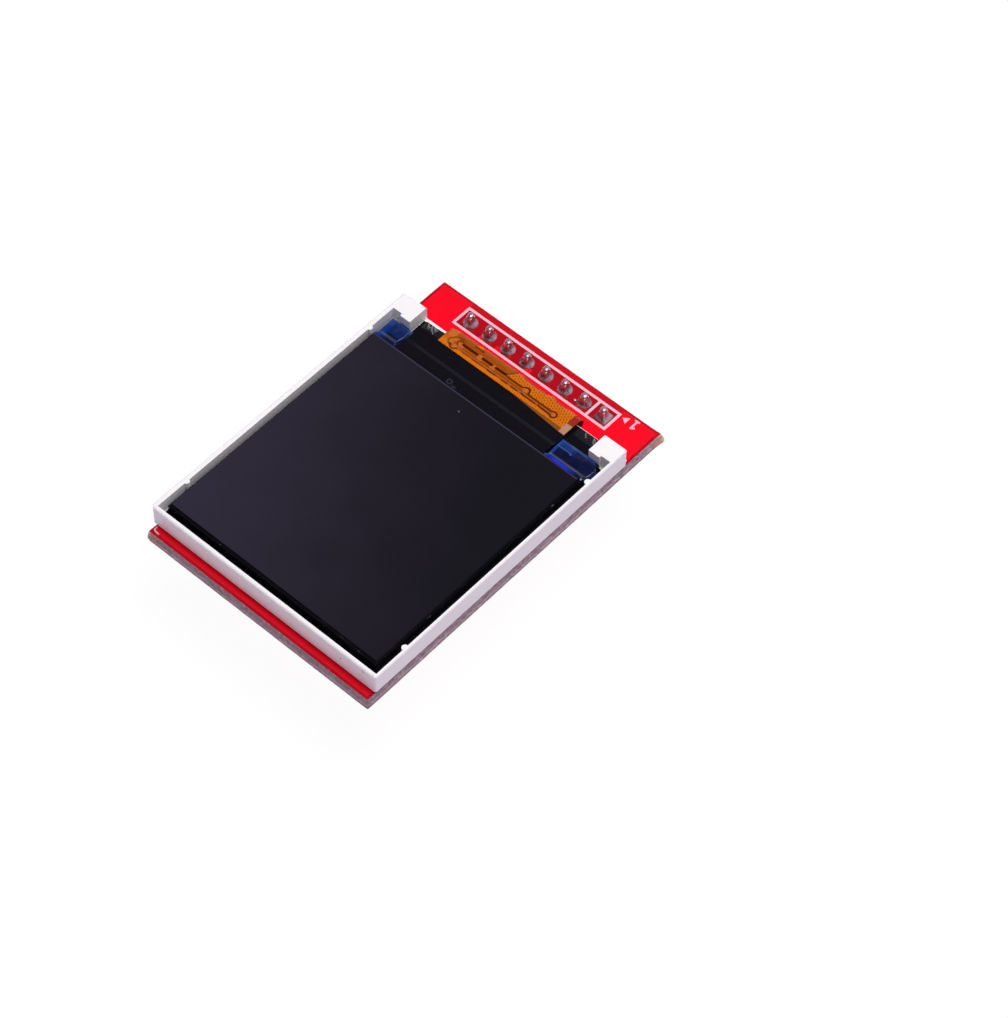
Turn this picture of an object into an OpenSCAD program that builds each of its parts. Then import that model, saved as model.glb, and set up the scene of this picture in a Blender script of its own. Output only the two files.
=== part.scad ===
// Small colour TFT display module: a glass panel and its backlight in a moulded
// tray, stuck to a circuit board that carries an eight-pin header on its back.
//
// Frame: origin on the pin row's middle, in the face of the header's plastic that
// seats on a host board. +X runs along the pins, +Y towards the board's pin end,
// and +Z up, out of the picture side of the glass. Millimetres.

/* [Display tray] */
// Outside width of the tray
tray_w = 29.7; // [28:0.1:32]
// Outside length of the tray
tray_l = 36.2; // [33:0.1:40]
// Height of the tray from its base to its rim
tray_h = 2.45; // [2.3:0.05:3.5]
// Sideways offset of the tray from the middle of the board
tray_shift = -0.27; // [-0.6:0.01:0.6]
// Thickness of the left side wall
wall_left = 0.62; // [0.3:0.01:1]
// Thickness of the right side wall
wall_right = 0.28; // [0.2:0.01:1]
// Thickness of the front wall
wall_front = 0.45; // [0.3:0.01:1]
// Radius of the crown along the outer edge of the rim
rim_round = 0.24; // [0.05:0.01:0.27]
// Radius of the tray's upright corners
corner_round = 0.25; // [0.1:0.05:0.5]
// Radius of its front left corner
corner_front_left = 0.6; // [0.3:0.05:0.9]
// Width of the left corner block, from the inside of the wall
block_left = 2.47; // [1.8:0.01:3]
// Width of the right corner block, from the inside of the wall
block_right = 2.54; // [1.8:0.01:3]
// Depth of both corner blocks
block_depth = 2.58; // [2:0.01:3]
// Width of the relief notch in each block, beside the wall
relief_w = 1.15; // [0.6:0.05:1.5]
// Depth of the relief notch
relief_depth = 0.3; // [0.1:0.05:0.6]
// Radius of the locating nubs on the side walls
nub_r = 0.34; // [0.28:0.01:0.5]
// How far the left nubs stand out of the wall
nub_left = 0.24; // [0.1:0.01:0.28]
// How far the right nubs stand out of the wall
nub_right = 0.4; // [0.1:0.01:0.45]
// Drop of the nubs' tops under the rim
nub_drop = 0.03; // [0.01:0.01:0.3]
// From the outside of the front wall to the front pair of nubs
nub_front = 4.45; // [3:0.05:9]
// From the tray's pin end to the rear left nub
nub_rear = 5.75; // [4:0.05:9]
// How far the rear right nub stands nearer to the pin end
nub_step = 0.2; // [0:0.01:0.5]
// Width of the shelf under the glass, left side
shelf_left = 1.3; // [0.8:0.05:2]
// Width of the shelf under the glass, right side
shelf_right = 1.2; // [1.1:0.05:2]
// Width of the shelf under the glass, front
shelf_front = 1.2; // [1.1:0.05:2]
// Width of the shelf in front of the corner blocks
shelf_rear = 0.5; // [0.3:0.05:1]
// Side of the gate stub left at one foot of the tray
gate_stub = 0.28; // [0.15:0.01:0.35]

/* [Glass] */
// Gap between the glass and the left wall
glass_gap_left = 0.3; // [0.26:0.01:1]
// Gap between the glass and the right wall
glass_gap_right = 0.98; // [0.4:0.01:1]
// Gap between the glass and the front wall
glass_gap_front = 1; // [0.2:0.01:1]
// Gap between the glass and the corner blocks
glass_gap_rear = 0.09; // [0.05:0.01:0.3]
// Thickness of each glass sheet
glass_t = 0.4; // [0.3:0.05:0.5]
// Length of the lower glass that the upper glass leaves open
ledge = 2.55; // [2.4:0.05:3]
// Thickness of the front polarizer
front_polarizer_t = 0.15; // [0.1:0.01:0.2]
// Left margin of glass round the front polarizer
polarizer_left = 0.15; // [0.1:0.01:0.6]
// Right margin of glass round the front polarizer
polarizer_right = 0.33; // [0.1:0.01:0.6]
// Front margin of glass round the front polarizer
polarizer_front = 0.37; // [0.1:0.01:0.6]
// Rear margin of glass behind the front polarizer
polarizer_rear = 0.39; // [0.3:0.01:0.6]
// Thickness of the rear polarizer
rear_polarizer_t = 0.12; // [0.1:0.01:0.2]
// Margin of glass round the rear polarizer
rear_polarizer_margin = 0.6; // [0.3:0.05:0.8]

/* [Backlight] */
// Thickness of the reflector sheet
reflector_t = 0.08; // [0.05:0.01:0.12]
// Thickness of the light guide
guide_t = 0.45; // [0.4:0.05:0.8]
// Thickness of the diffuser film
diffuser_t = 0.06; // [0.04:0.01:0.1]
// Thickness of each prism film
prism_t = 0.07; // [0.04:0.01:0.1]
// Slack between the backlight sheets and the tray
sheet_gap = 0.1; // [0.05:0.01:0.2]
// Air gap under the light guide
guide_gap = 0.02; // [0.01:0.01:0.05]
// Side of the two ears that hold the light guide
ear = 0.7; // [0.4:0.05:0.8]
// Number of backlight LEDs
leds = 3; // [2:1:3]
// Distance between the LEDs
led_pitch = 7; // [5:0.5:8]
// Length of each LED
led_l = 3; // [2:0.1:3.5]
// Depth of each LED
led_d = 0.85; // [0.6:0.05:1]
// Height of each LED
led_h = 0.55; // [0.4:0.05:0.6]
// Slack round each LED in its pocket
led_gap = 0.1; // [0.05:0.01:0.2]
// Thickness of the LED strip
led_strip_t = 0.1; // [0.08:0.01:0.12]
// Depth of the LED strip
led_strip_d = 1.7; // [1.4:0.1:2]
// Thickness of the black rim tape
rim_tape_t = 0.05; // [0.04:0.01:0.08]
// Width of the rim tape over the backlight
rim_tape_cover = 0.7; // [0.4:0.05:1]
// Setback of the rim tape's tab from the tray's end, at the left
rim_tape_back_left = 0.46; // [0.1:0.01:0.8]
// The same setback where the tab goes under the flex
rim_tape_back_flex = 0.24; // [0.1:0.01:0.5]
// Setback of the rim tape's tab from the tray's end, at the right
rim_tape_back_right = 0.05; // [0.02:0.01:0.8]

/* [Flex and driver] */
// Width of the flex tail
flex_w = 17.3; // [14:0.1:18]
// Sideways place of the flex tail from the tray's middle
flex_shift = -0.08; // [-0.5:0.01:0.5]
// Thickness of the flex tail
flex_t = 0.1; // [0.08:0.01:0.12]
// Length of the flex bonded to the glass
flex_bond = 1.2; // [0.8:0.05:1.3]
// How far the fold stands out past the tray
fold_proud = 0.83; // [0.7:0.01:0.95]
// Gap between the returning flex and the board
flex_lift = 0.03; // [0.02:0.01:0.04]
// How far the flex returns under the tray
flex_return = 7.4; // [6:0.1:8]
// Thickness of the amber cover over the flex
cover_t = 0.06; // [0.04:0.01:0.08]
// Left margin of bare flex beside the cover
cover_left = 0.1; // [0.05:0.01:0.5]
// Right margin of bare flex beside the cover
cover_right = 0.75; // [0.5:0.01:1]
// From the rear edge of the glass to the cover
cover_start = 0.9; // [0.7:0.05:1.2]
// Degrees of the fold that the cover follows
cover_angle = 110; // [90:5:150]
// Length of the pale pad beside the cover
pad_l = 1.3; // [1:0.05:1.8]
// Length of the driver chip
driver_l = 14; // [10:0.1:16]
// Depth of the driver chip
driver_d = 0.95; // [0.8:0.01:1]
// Height of the driver chip
driver_h = 0.3; // [0.2:0.01:0.3]
// Gap in front of and behind the driver chip
driver_gap = 0.18; // [0.1:0.01:0.2]
// Thickness of the ledge tape
ledge_tape_t = 0.08; // [0.05:0.01:0.1]
// How far the ledge tape runs past the flex at the left
ledge_tape_left = 2.3; // [1.5:0.05:2.6]
// How far the ledge tape runs past the flex at the right
ledge_tape_right = 0.15; // [0.1:0.01:0.5]
// Gap between the ledge tape and the cover
ledge_tape_gap = 0.05; // [0.02:0.01:0.1]
// Width of the ledge tape's skewed corner
tape_skew_w = 7.5; // [4:0.1:9]
// Depth of the ledge tape's skewed corner
tape_skew_d = 0.55; // [0.3:0.01:0.6]
// Seat of the ledge tape on the upper glass
ledge_tape_seat = 0.29; // [0.1:0.01:0.29]
// Gap between the ledge tape and the glue
glue_gap = 0.04; // [0.02:0.01:0.1]
// Length of the solder tabs under the flex
tab_l = 1.4; // [1:0.1:2]
// Number of solder tabs under the flex
flex_tabs = 14; // [8:1:16]
// Distance between the flex tabs
flex_tab_pitch = 1.1; // [0.8:0.1:1.1]

/* [Circuit board] */
// Width of the board's face
board_w = 29.05; // [28:0.05:32]
// Thickness of the board
board_t = 1.6; // [1.2:0.1:2.4]
// Board left in front of the tray
board_front = 1.06; // [0.5:0.01:4]
// Board behind the tray, at the pin end
board_rear = 5.35; // [5:0.05:12]
// Depth of the score cut along each snapped edge
score_depth = 0.5; // [0.2:0.05:0.55]
// How far the snapped web between the score cuts stands out
score_web = 0.12; // [0.05:0.01:0.3]
// Thickness of the adhesive sheet under the tray
adhesive_t = 0.2; // [0.18:0.01:0.5]
// Setback of the adhesive from the tray's outside
adhesive_inset = 0.35; // [0.2:0.05:1]
// Thickness of the printed ink
ink_t = 0.03; // [0.02:0.01:0.05]
// Width of the printed lines
ink_w = 0.3; // [0.15:0.01:0.4]
// From the last pin to the middle of the printed frame's left side
print_left = 1.33; // [1.1:0.01:1.6]
// From the first pin to the middle of the printed frame's right side
print_right = 1.05; // [1.05:0.01:1.6]
// From the pin row to the middle of the printed frame's front side
print_front = 1.095; // [1.05:0.005:1.4]
// From the pin row to the middle of the printed frame's rear side
print_rear = 1.315; // [1.05:0.005:1.4]
// From the first pin to the printed divider
print_divider = 1.46; // [1.1:0.01:1.48]

/* [Pin header] */
// Number of pins
pins = 8; // [4:1:8]
// Distance between pins
pitch = 2.54; // [2:0.01:2.54]
// Side of the square pins
pin_side = 0.64; // [0.4:0.01:0.64]
// From the pin row to the board's end
pin_inset = 2.25; // [1.7:0.05:2.6]
// Height of the header's plastic
header_h = 2.54; // [1.5:0.01:8.5]
// Depth of the header's plastic
header_d = 2.5; // [2:0.01:2.6]
// Chamfer between neighbouring pins on the plastic
header_notch = 0.45; // [0.2:0.01:0.6]
// Length of pin below the plastic
pin_below = 6; // [4:0.1:12]
// Length of pin above the board
pin_above = 1.3; // [1:0.05:2.5]
// Length of the taper at each pin's end
pin_taper = 0.5; // [0.2:0.05:1]
// Diameter of the plated holes
hole_d = 1; // [0.95:0.01:1.1]
// Diameter of the soldered pads
pad_d = 1.65; // [1.4:0.01:1.8]
// Height of the solder fillet on the pin
solder_h = 0.75; // [0.4:0.05:0.9]

/* [Back components] */
// Length of the chip resistors and capacitors
chip_l = 1.6; // [1:0.1:2]
// Width of the chip resistors and capacitors
chip_w = 0.8; // [0.5:0.05:1.25]
// Height of the chip resistors
resistor_h = 0.45; // [0.3:0.05:0.6]
// Height of the chip capacitors
capacitor_h = 0.8; // [0.5:0.05:1.2]
// Length of the voltage regulator's body
regulator_l = 2.9; // [2.5:0.1:3.1]
// Width of the voltage regulator's body
regulator_w = 1.3; // [1.2:0.05:1.7]
// Height of the voltage regulator's body
regulator_h = 1; // [0.8:0.05:1.2]
// Thickness of the regulator's leads
lead_t = 0.13; // [0.1:0.01:0.2]
// Width of the regulator's leads
lead_w = 0.4; // [0.3:0.05:0.5]
// Reach of the regulator's leads beside its body
lead_reach = 0.55; // [0.4:0.05:0.7]
// Distance between the regulator's two front leads
lead_pitch = 1.9; // [1.5:0.1:2]
// From the pin row to the row of back components
parts_row = 6.5; // [4:0.1:14]
// Distance between the back components
parts_pitch = 3; // [2.6:0.1:3.5]

/* [Hidden] */
$fn = 48;
eps = 0.01;

// Board, from the tray outwards
board_l = board_front + tray_l + board_rear;
board_x = [-board_w / 2, board_w / 2];
board_y = [pin_inset - board_l, pin_inset];
board_z = [header_h, header_h + board_t];
deck = board_z[1];

// Tray: outside, hollow above the shelf, and the opening under the shelf
tray_x = [tray_shift - tray_w / 2, tray_shift + tray_w / 2];
tray_y = [board_y[0] + board_front, board_y[1] - board_rear];
tray_z = [deck + adhesive_t, deck + adhesive_t + tray_h];
hollow_x = [tray_x[0] + wall_left, tray_x[1] - wall_right];
block_y = tray_y[1] - block_depth;
hollow_y = [tray_y[0] + wall_front, block_y];
bay_x = [hollow_x[0] + block_left, hollow_x[1] - block_right];
well_x = [hollow_x[0] + shelf_left, hollow_x[1] - shelf_right];
well_y = [hollow_y[0] + shelf_front, block_y - shelf_rear];

// Backlight, stacked upwards from the adhesive
reflector_z = [tray_z[0], tray_z[0] + reflector_t];
guide_z = [reflector_z[1] + guide_gap, reflector_z[1] + guide_gap + guide_t];
diffuser_z = [guide_z[1], guide_z[1] + diffuser_t];
lower_prism_z = [diffuser_z[1], diffuser_z[1] + prism_t];
upper_prism_z = [lower_prism_z[1], lower_prism_z[1] + prism_t];
shelf = upper_prism_z[1];
sheet_x = inset(well_x, sheet_gap);
sheet_y = inset(well_y, sheet_gap);
ear_y = well_y[1] - 4 * ear;
rim_tape_z = [shelf, shelf + rim_tape_t];

// LEDs in pockets behind the light guide
led_strip_z = [tray_z[0], tray_z[0] + led_strip_t];
led_z = [led_strip_z[1], led_strip_z[1] + led_h];
led_y = [well_y[1] + led_gap / 2, well_y[1] + led_gap / 2 + led_d];
led_strip_x = [led_x(1) - led_l / 2 - 1, led_x(leds) + led_l / 2 + 1];
led_strip_y = [well_y[1], well_y[1] + led_strip_d];

// Glass, stacked upwards from the rim tape
rear_polarizer_z = [rim_tape_z[1], rim_tape_z[1] + rear_polarizer_t];
lower_glass_z = [rear_polarizer_z[1], rear_polarizer_z[1] + glass_t];
upper_glass_z = [lower_glass_z[1], lower_glass_z[1] + glass_t];
front_polarizer_z = [upper_glass_z[1], upper_glass_z[1] + front_polarizer_t];
glass_x = [hollow_x[0] + glass_gap_left, hollow_x[1] - glass_gap_right];
lower_glass_y = [hollow_y[0] + glass_gap_front, block_y - glass_gap_rear];
upper_glass_y = [lower_glass_y[0], lower_glass_y[1] - ledge];
ledge_z = lower_glass_z[1];

// Driver chip and flex on the ledge
driver_y = [upper_glass_y[1] + driver_gap, upper_glass_y[1] + driver_gap + driver_d];
flex_x = [tray_shift + flex_shift - flex_w / 2, tray_shift + flex_shift + flex_w / 2];
flex_top = ledge_z + flex_t;
flex_start = lower_glass_y[1] - flex_bond;
fold_z = (flex_top + deck + flex_lift) / 2;
fold_r = (flex_top - deck - flex_lift) / 2;
fold_y = tray_y[1] + fold_proud - fold_r;
cover_x = [flex_x[0] + cover_left, flex_x[1] - cover_right];
cover_y = lower_glass_y[1] + cover_start;
pad_y = cover_y - tape_skew_d + ledge_tape_gap;
flex_end = tray_y[1] - flex_return;
tape_slack = 0.02;
tape_ramp = 0.5;
ledge_tape_x = [flex_x[0] - ledge_tape_left, flex_x[1] + ledge_tape_right];
ledge_tape_y = [upper_glass_y[1] - ledge_tape_seat, cover_y - ledge_tape_gap];

// Header
pin_z = [-pin_below, deck + pin_above];
solder_slip = 0.01;

// ---- Places and small helpers ----

function inset(range, by) = [range[0] + by, range[1] - by];
function mid(range) = (range[0] + range[1]) / 2;
function pin_x(i) = (pins + 1 - 2 * i) / 2 * pitch;
function led_x(i) = tray_shift + (i - (leds + 1) / 2) * led_pitch;
function part_x(i) = (i - 3) * parts_pitch;

// A box between two limits on each axis
module span(x, y, z) {
    translate([x[0], y[0], z[0]])
        cube([x[1] - x[0], y[1] - y[0], z[1] - z[0]]);
}

// A flat rectangle between two limits
module plate(x, y) {
    translate([x[0], y[0]])
        square([x[1] - x[0], y[1] - y[0]]);
}

// Raise a flat outline between two heights
module raise(z) {
    translate([0, 0, z[0]])
        linear_extrude(z[1] - z[0])
            children();
}

// Sweep a section drawn in Y and Z along X
module along_x(x) {
    translate([x[0], 0, 0])
        rotate([90, 0, 90])
            linear_extrude(x[1] - x[0])
                children();
}

// Sweep a section drawn in X and Z along Y
module along_y(y) {
    translate([0, y[1], 0])
        rotate([90, 0, 0])
            linear_extrude(y[1] - y[0])
                children();
}

// ---- Circuit board ----

// Section of a snapped edge: plain faces with the web standing out between the cuts
module scored_section(u) {
    w = score_web;
    z = board_z;
    polygon([
        [u[0], z[0]], [u[1], z[0]],
        [u[1] + w, z[0] + score_depth], [u[1] + w, z[1] - score_depth],
        [u[1], z[1]], [u[0], z[1]],
        [u[0] - w, z[1] - score_depth], [u[0] - w, z[0] + score_depth]
    ]);
}

module board() {
    color("crimson")
        difference() {
            intersection() {
                along_y(inset(board_y, -score_web))
                    scored_section(board_x);
                along_x(inset(board_x, -score_web))
                    scored_section(board_y);
            }
            for (i = [1:pins])
                translate([pin_x(i), 0, board_z[0] - eps])
                    cylinder(h = board_t + 2 * eps, d = hole_d);
        }
}

// White ink frame round the pin row, with the first pin boxed off
module pin_box_print() {
    x = [pin_x(pins) - print_left, pin_x(1) + print_right];
    y = [-print_front, print_rear];
    divider = pin_x(1) - print_divider;
    color("white")
        raise([deck, deck + ink_t]) {
            difference() {
                plate(inset(x, -ink_w / 2), inset(y, -ink_w / 2));
                plate(inset(x, ink_w / 2), inset(y, ink_w / 2));
            }
            plate([divider - ink_w / 2, divider + ink_w / 2], y);
        }
}

// ---- Pin header ----

// Plan of the header's plastic round one pin, with its corners cut back
module header_cell() {
    x = pitch / 2;
    y = header_d / 2;
    n = header_notch;
    polygon([
        [-x, -y + n], [-x + n, -y], [x - n, -y], [x, -y + n],
        [x, y - n], [x - n, y], [-x + n, y], [-x, y - n]
    ]);
}

// The cells of all pins, joined by one bar inside their notches
module header_plan() {
    half = header_d / 2 - header_notch;
    plate([pin_x(pins) - pitch / 2, pin_x(1) + pitch / 2], [-half, half]);
    for (i = [1:pins])
        translate([pin_x(i), 0])
            header_cell();
}

module header_body() {
    color("#1b1b1d")
        raise([0, board_z[0]])
            difference() {
                header_plan();
                for (i = [1:pins])
                    translate([pin_x(i), 0])
                        square(pin_side, center = true);
            }
}

// Side view of a pin, tapered at both ends
module pin_section() {
    s = pin_side / 2;
    tip = s / 2;
    polygon([
        [-tip, pin_z[0]], [tip, pin_z[0]], [s, pin_z[0] + pin_taper],
        [s, pin_z[1] - pin_taper / 2], [tip, pin_z[1]], [-tip, pin_z[1]],
        [-s, pin_z[1] - pin_taper / 2], [-s, pin_z[0] + pin_taper]
    ]);
}

module header_pin(i) {
    half = [-pin_side / 2, pin_side / 2];
    color("#d9c27a")
        translate([pin_x(i), 0, 0])
            intersection() {
                along_y(half)
                    pin_section();
                along_x(half)
                    pin_section();
            }
}

// Half section of a solder joint: the filled hole, the pad and a hollow cone
module solder_section() {
    r_pad = pad_d / 2;
    r_pin = pin_side * 0.72;
    r_hole = hole_d / 2 - solder_slip;
    cone = [for (a = [0:15:90])
        [r_pin + (r_pad - r_pin) * (1 - sin(a)), deck + ink_t + solder_h * (1 - cos(a))]];
    polygon(concat(
        [[0, board_z[0]], [r_hole, board_z[0]], [r_hole, deck], [r_pad, deck]],
        cone,
        [[0, deck + ink_t + solder_h]]
    ));
}

module solder_joint(i) {
    color("#b9b4bd")
        translate([pin_x(i), 0, 0])
            difference() {
                union() {
                    rotate_extrude()
                        solder_section();
                    if (i == 1)
                        translate([-pad_d / 2, -pad_d / 2, deck])
                            cube([pad_d, pad_d, 2 * ink_t]);
                }
                translate([-pin_side / 2, -pin_side / 2, board_z[0] - eps])
                    cube([pin_side, pin_side, board_t + solder_h + 1]);
            }
}

// ---- Display tray ----

// Upright section with its two top corners rounded
module crowned_section(u, z, r) {
    plate(u, [z[0], z[1] - r]);
    plate(inset(u, r), z);
    for (s = [u[0] + r, u[1] - r])
        translate([s, z[1] - r])
            circle(r);
}

// Plan of the tray with rounded upright corners, the front left one rounder
module tray_plan() {
    r = corner_round;
    big = corner_front_left;
    difference() {
        union() {
            plate(inset(tray_x, r), tray_y);
            plate(tray_x, inset(tray_y, r));
            for (x = inset(tray_x, r), y = inset(tray_y, r))
                translate([x, y])
                    circle(r);
        }
        difference() {
            plate([tray_x[0] - 1, tray_x[0] + big], [tray_y[0] - 1, tray_y[0] + big]);
            translate([tray_x[0] + big, tray_y[0] + big])
                circle(big);
        }
    }
}

// Plan of the hollow above the shelf: the glass bed, the two relief notches
// and the bay between the corner blocks, which runs out of the pin end
module hollow_plan() {
    plate(hollow_x, hollow_y);
    plate([hollow_x[0], hollow_x[0] + relief_w], [hollow_y[0], block_y + relief_depth]);
    plate([hollow_x[1] - relief_w, hollow_x[1]], [hollow_y[0], block_y + relief_depth]);
    plate(bay_x, [block_y - eps, tray_y[1] + 1]);
}

// Plan of the four half-round nubs, grown for clearance where asked
module nub_plan(grow = 0) {
    left = hollow_x[0] + nub_left - nub_r;
    right = hollow_x[1] - nub_right + nub_r;
    front = tray_y[0] + nub_front;
    rear = tray_y[1] - nub_rear;
    for (p = [[left, front], [right, front], [left, rear], [right, rear + nub_step]])
        translate(p)
            circle(nub_r + grow);
}

// Room for the light guide, with a seat for each of its ears
module well_plan() {
    plate(well_x, well_y);
    plate(inset(well_x, -ear), [ear_y, ear_y + ear]);
}

module led_pocket(i) {
    x = led_x(i);
    span([x - led_l / 2 - led_gap, x + led_l / 2 + led_gap],
         [well_y[1] - eps, led_y[1] + led_gap],
         [tray_z[0] - eps, shelf + eps]);
}

module lcd_tray() {
    color("#f4f2f5") {
        difference() {
            intersection() {
                along_y(tray_y)
                    crowned_section(tray_x, tray_z, rim_round);
                along_x(tray_x)
                    crowned_section(tray_y, tray_z, rim_round);
                raise(tray_z)
                    tray_plan();
            }
            raise([shelf, tray_z[1] + 1])
                hollow_plan();
            raise([tray_z[0] - eps, shelf + eps])
                well_plan();
            for (i = [1:leds])
                led_pocket(i);
            span(inset(led_strip_x, -led_gap),
                 [well_y[1] - eps, led_strip_y[1] + led_gap],
                 [tray_z[0] - eps, led_strip_z[1]]);
        }
        raise([shelf - eps, tray_z[1] - nub_drop])
            intersection() {
                nub_plan();
                plate(inset(hollow_x, -eps), hollow_y);
            }
        span([tray_x[1] - corner_round - gate_stub, tray_x[1] - corner_round],
             [tray_y[1] - eps, tray_y[1] + gate_stub],
             [tray_z[0], tray_z[0] + gate_stub]);
    }
}

module adhesive_sheet() {
    color("#e9e4d8")
        span(inset(tray_x, adhesive_inset),
             [tray_y[0] + adhesive_inset, flex_end - adhesive_inset],
             [deck, tray_z[0]]);
}

// ---- Backlight ----

module reflector_sheet() {
    color("#f2f4f6")
        span(sheet_x, sheet_y, reflector_z);
}

// Clear plate whose two ears sit in the tray, chamfered at the front corners
module light_guide() {
    c = ear / 2;
    x = sheet_x;
    y = sheet_y;
    color("#dfeef2")
        raise(guide_z) {
            polygon([
                [x[0], y[0] + c], [x[0] + c, y[0]], [x[1] - c, y[0]],
                [x[1], y[0] + c], [x[1], y[1]], [x[0], y[1]]
            ]);
            plate(inset(x, -ear), inset([ear_y, ear_y + ear], sheet_gap));
        }
}

module diffuser_film() {
    color("#eef1f3")
        span(sheet_x, sheet_y, diffuser_z);
}

module lower_prism_film() {
    color("#dfe6ea")
        span(sheet_x, sheet_y, lower_prism_z);
}

module upper_prism_film() {
    color("#d5dfe5")
        span(sheet_x, sheet_y, upper_prism_z);
}

// Black tape ring on the shelf, with a tab over the LED bay
module rim_tape() {
    g = sheet_gap;
    far_left = tray_y[1] - rim_tape_back_left;
    far_flex = tray_y[1] - rim_tape_back_flex;
    far_right = tray_y[1] - rim_tape_back_right;
    color("#16151b")
        raise(rim_tape_z)
            difference() {
                union() {
                    plate(inset(hollow_x, g), [hollow_y[0] + g, block_y - g / 2]);
                    polygon([
                        [bay_x[0] + g / 2, block_y - g], [bay_x[1] - g / 2, block_y - g],
                        [bay_x[1] - g / 2, far_right], [flex_x[0], far_flex],
                        [bay_x[0] + g / 2, far_left]
                    ]);
                }
                plate(inset(well_x, rim_tape_cover), inset(well_y, rim_tape_cover));
                nub_plan(g / 2);
            }
}

module led_strip() {
    color("#c98a2e")
        span(led_strip_x, led_strip_y, led_strip_z);
}

// Side-view LED: a white housing with a yellow window towards the light guide
module backlight_led(i) {
    x = [led_x(i) - led_l / 2, led_x(i) + led_l / 2];
    window = led_h * 0.2;
    color("#f3f0d8")
        difference() {
            span(x, led_y, led_z);
            span(inset(x, 2 * window), [led_y[0] - eps, led_y[0] + window], inset(led_z, window));
        }
}

// ---- Glass ----

module rear_polarizer() {
    m = rear_polarizer_margin;
    color("#3c3f48")
        span(inset(glass_x, m), inset(upper_glass_y, m), rear_polarizer_z);
}

module lower_glass() {
    color("#2b2f38")
        span(glass_x, lower_glass_y, lower_glass_z);
}

module upper_glass() {
    color("#23262e")
        span(glass_x, upper_glass_y, upper_glass_z);
}

module front_polarizer() {
    color("#25232c")
        span([glass_x[0] + polarizer_left, glass_x[1] - polarizer_right],
             [upper_glass_y[0] + polarizer_front, upper_glass_y[1] - polarizer_rear],
             front_polarizer_z);
}

module driver_chip() {
    x = mid(ledge_tape_x);
    color("#4a4d55")
        span([x - driver_l / 2, x + driver_l / 2], driver_y, [ledge_z, ledge_z + driver_h]);
}

// Black tape that steps down from the upper glass, over the chip, to the flex,
// with its right rear corner cut askew
module ledge_tape() {
    chip_top = ledge_z + driver_h + tape_slack;
    flex_seat = flex_top + tape_slack;
    path = [
        [ledge_tape_y[0], upper_glass_z[1]], [upper_glass_y[1], upper_glass_z[1]],
        [driver_y[1], chip_top], [driver_y[1] + tape_ramp, flex_seat],
        [ledge_tape_y[1], flex_seat]
    ];
    n = len(path);
    x = ledge_tape_x;
    y = ledge_tape_y;
    color("#18171d")
        intersection() {
            along_x(x)
                polygon(concat(
                    path,
                    [for (k = [1:n]) path[n - k] + [0, ledge_tape_t]]
                ));
            raise([ledge_z, front_polarizer_z[1]])
                polygon([
                    [x[0], y[0]], [x[1], y[0]], [x[1], y[1] - tape_skew_d],
                    [x[1] - tape_skew_w, y[1]], [x[0], y[1]]
                ]);
        }
}

// ---- Flex tail ----

// Ring sector from straight up, over the pin end and down through an angle
module fold_section(r_in, r_out, angle) {
    reach = 2 * r_out;
    corners = [for (a = [0:angle / 6:angle]) reach * [sin(a), cos(a)]];
    translate([fold_y, fold_z])
        intersection() {
            difference() {
                circle(r_out);
                circle(r_in);
            }
            polygon(concat([[0, 0]], corners));
        }
}

// Flex: bonded on the glass ledge, folded over the tray's end and back under it
module flex_tail() {
    color("#9c5f14")
        along_x(flex_x) {
            plate([flex_start, fold_y], [ledge_z, flex_top]);
            fold_section(fold_r - flex_t, fold_r, 180);
            plate([flex_end, fold_y], [deck + flex_lift, deck + flex_lift + flex_t]);
        }
}

module flex_cover() {
    color("#e08a22")
        along_x(cover_x) {
            plate([cover_y, fold_y], [flex_top, flex_top + cover_t]);
            fold_section(fold_r, fold_r + cover_t, cover_angle);
        }
}

// Pale stiffener pad in the flex's corner
module flex_pad() {
    color("#bf9a80")
        span([cover_x[1] + eps, flex_x[1]],
             [pad_y, pad_y + pad_l],
             [flex_top, flex_top + cover_t]);
}

// Solder tabs that join the end of the flex to the board
module flex_solder() {
    run = (flex_tabs - 1) * flex_tab_pitch;
    tab_w = flex_tab_pitch * 0.45;
    color("#b9b4bd")
        for (k = [0:flex_tabs - 1])
            translate([mid(flex_x) - run / 2 + k * flex_tab_pitch - tab_w / 2, flex_end, deck])
                cube([tab_w, tab_l, flex_lift]);
}

// ---- Glue on the ledge's ends ----

// Side section of the glue: a lip on the upper glass, then a hollow meniscus
module glue_section(rear_y, rear_z) {
    lip = [ledge_tape_y[0], upper_glass_z[1]];
    low = ledge_z + 0.12;
    front = [upper_glass_y[1] + glue_gap, upper_glass_z[1] - glue_gap];
    curve = [for (k = [0:6])
        let (s = k / 6)
        [front[0] + (rear_y - front[0]) * s,
         low + (front[1] - low) * pow(1 - s, 3) + (rear_z - low) * pow(s, 3)]];
    polygon(concat(
        [[rear_y, ledge_z], [upper_glass_y[1], ledge_z], [upper_glass_y[1], upper_glass_z[1]],
         lip, lip + [0, glue_gap], [upper_glass_y[1], upper_glass_z[1] + glue_gap]],
        curve
    ));
}

module glue_left() {
    color("#1b3a86")
        along_x([glass_x[0], ledge_tape_x[0] - glue_gap])
            glue_section(lower_glass_y[1], ledge_z + 0.2);
}

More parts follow.
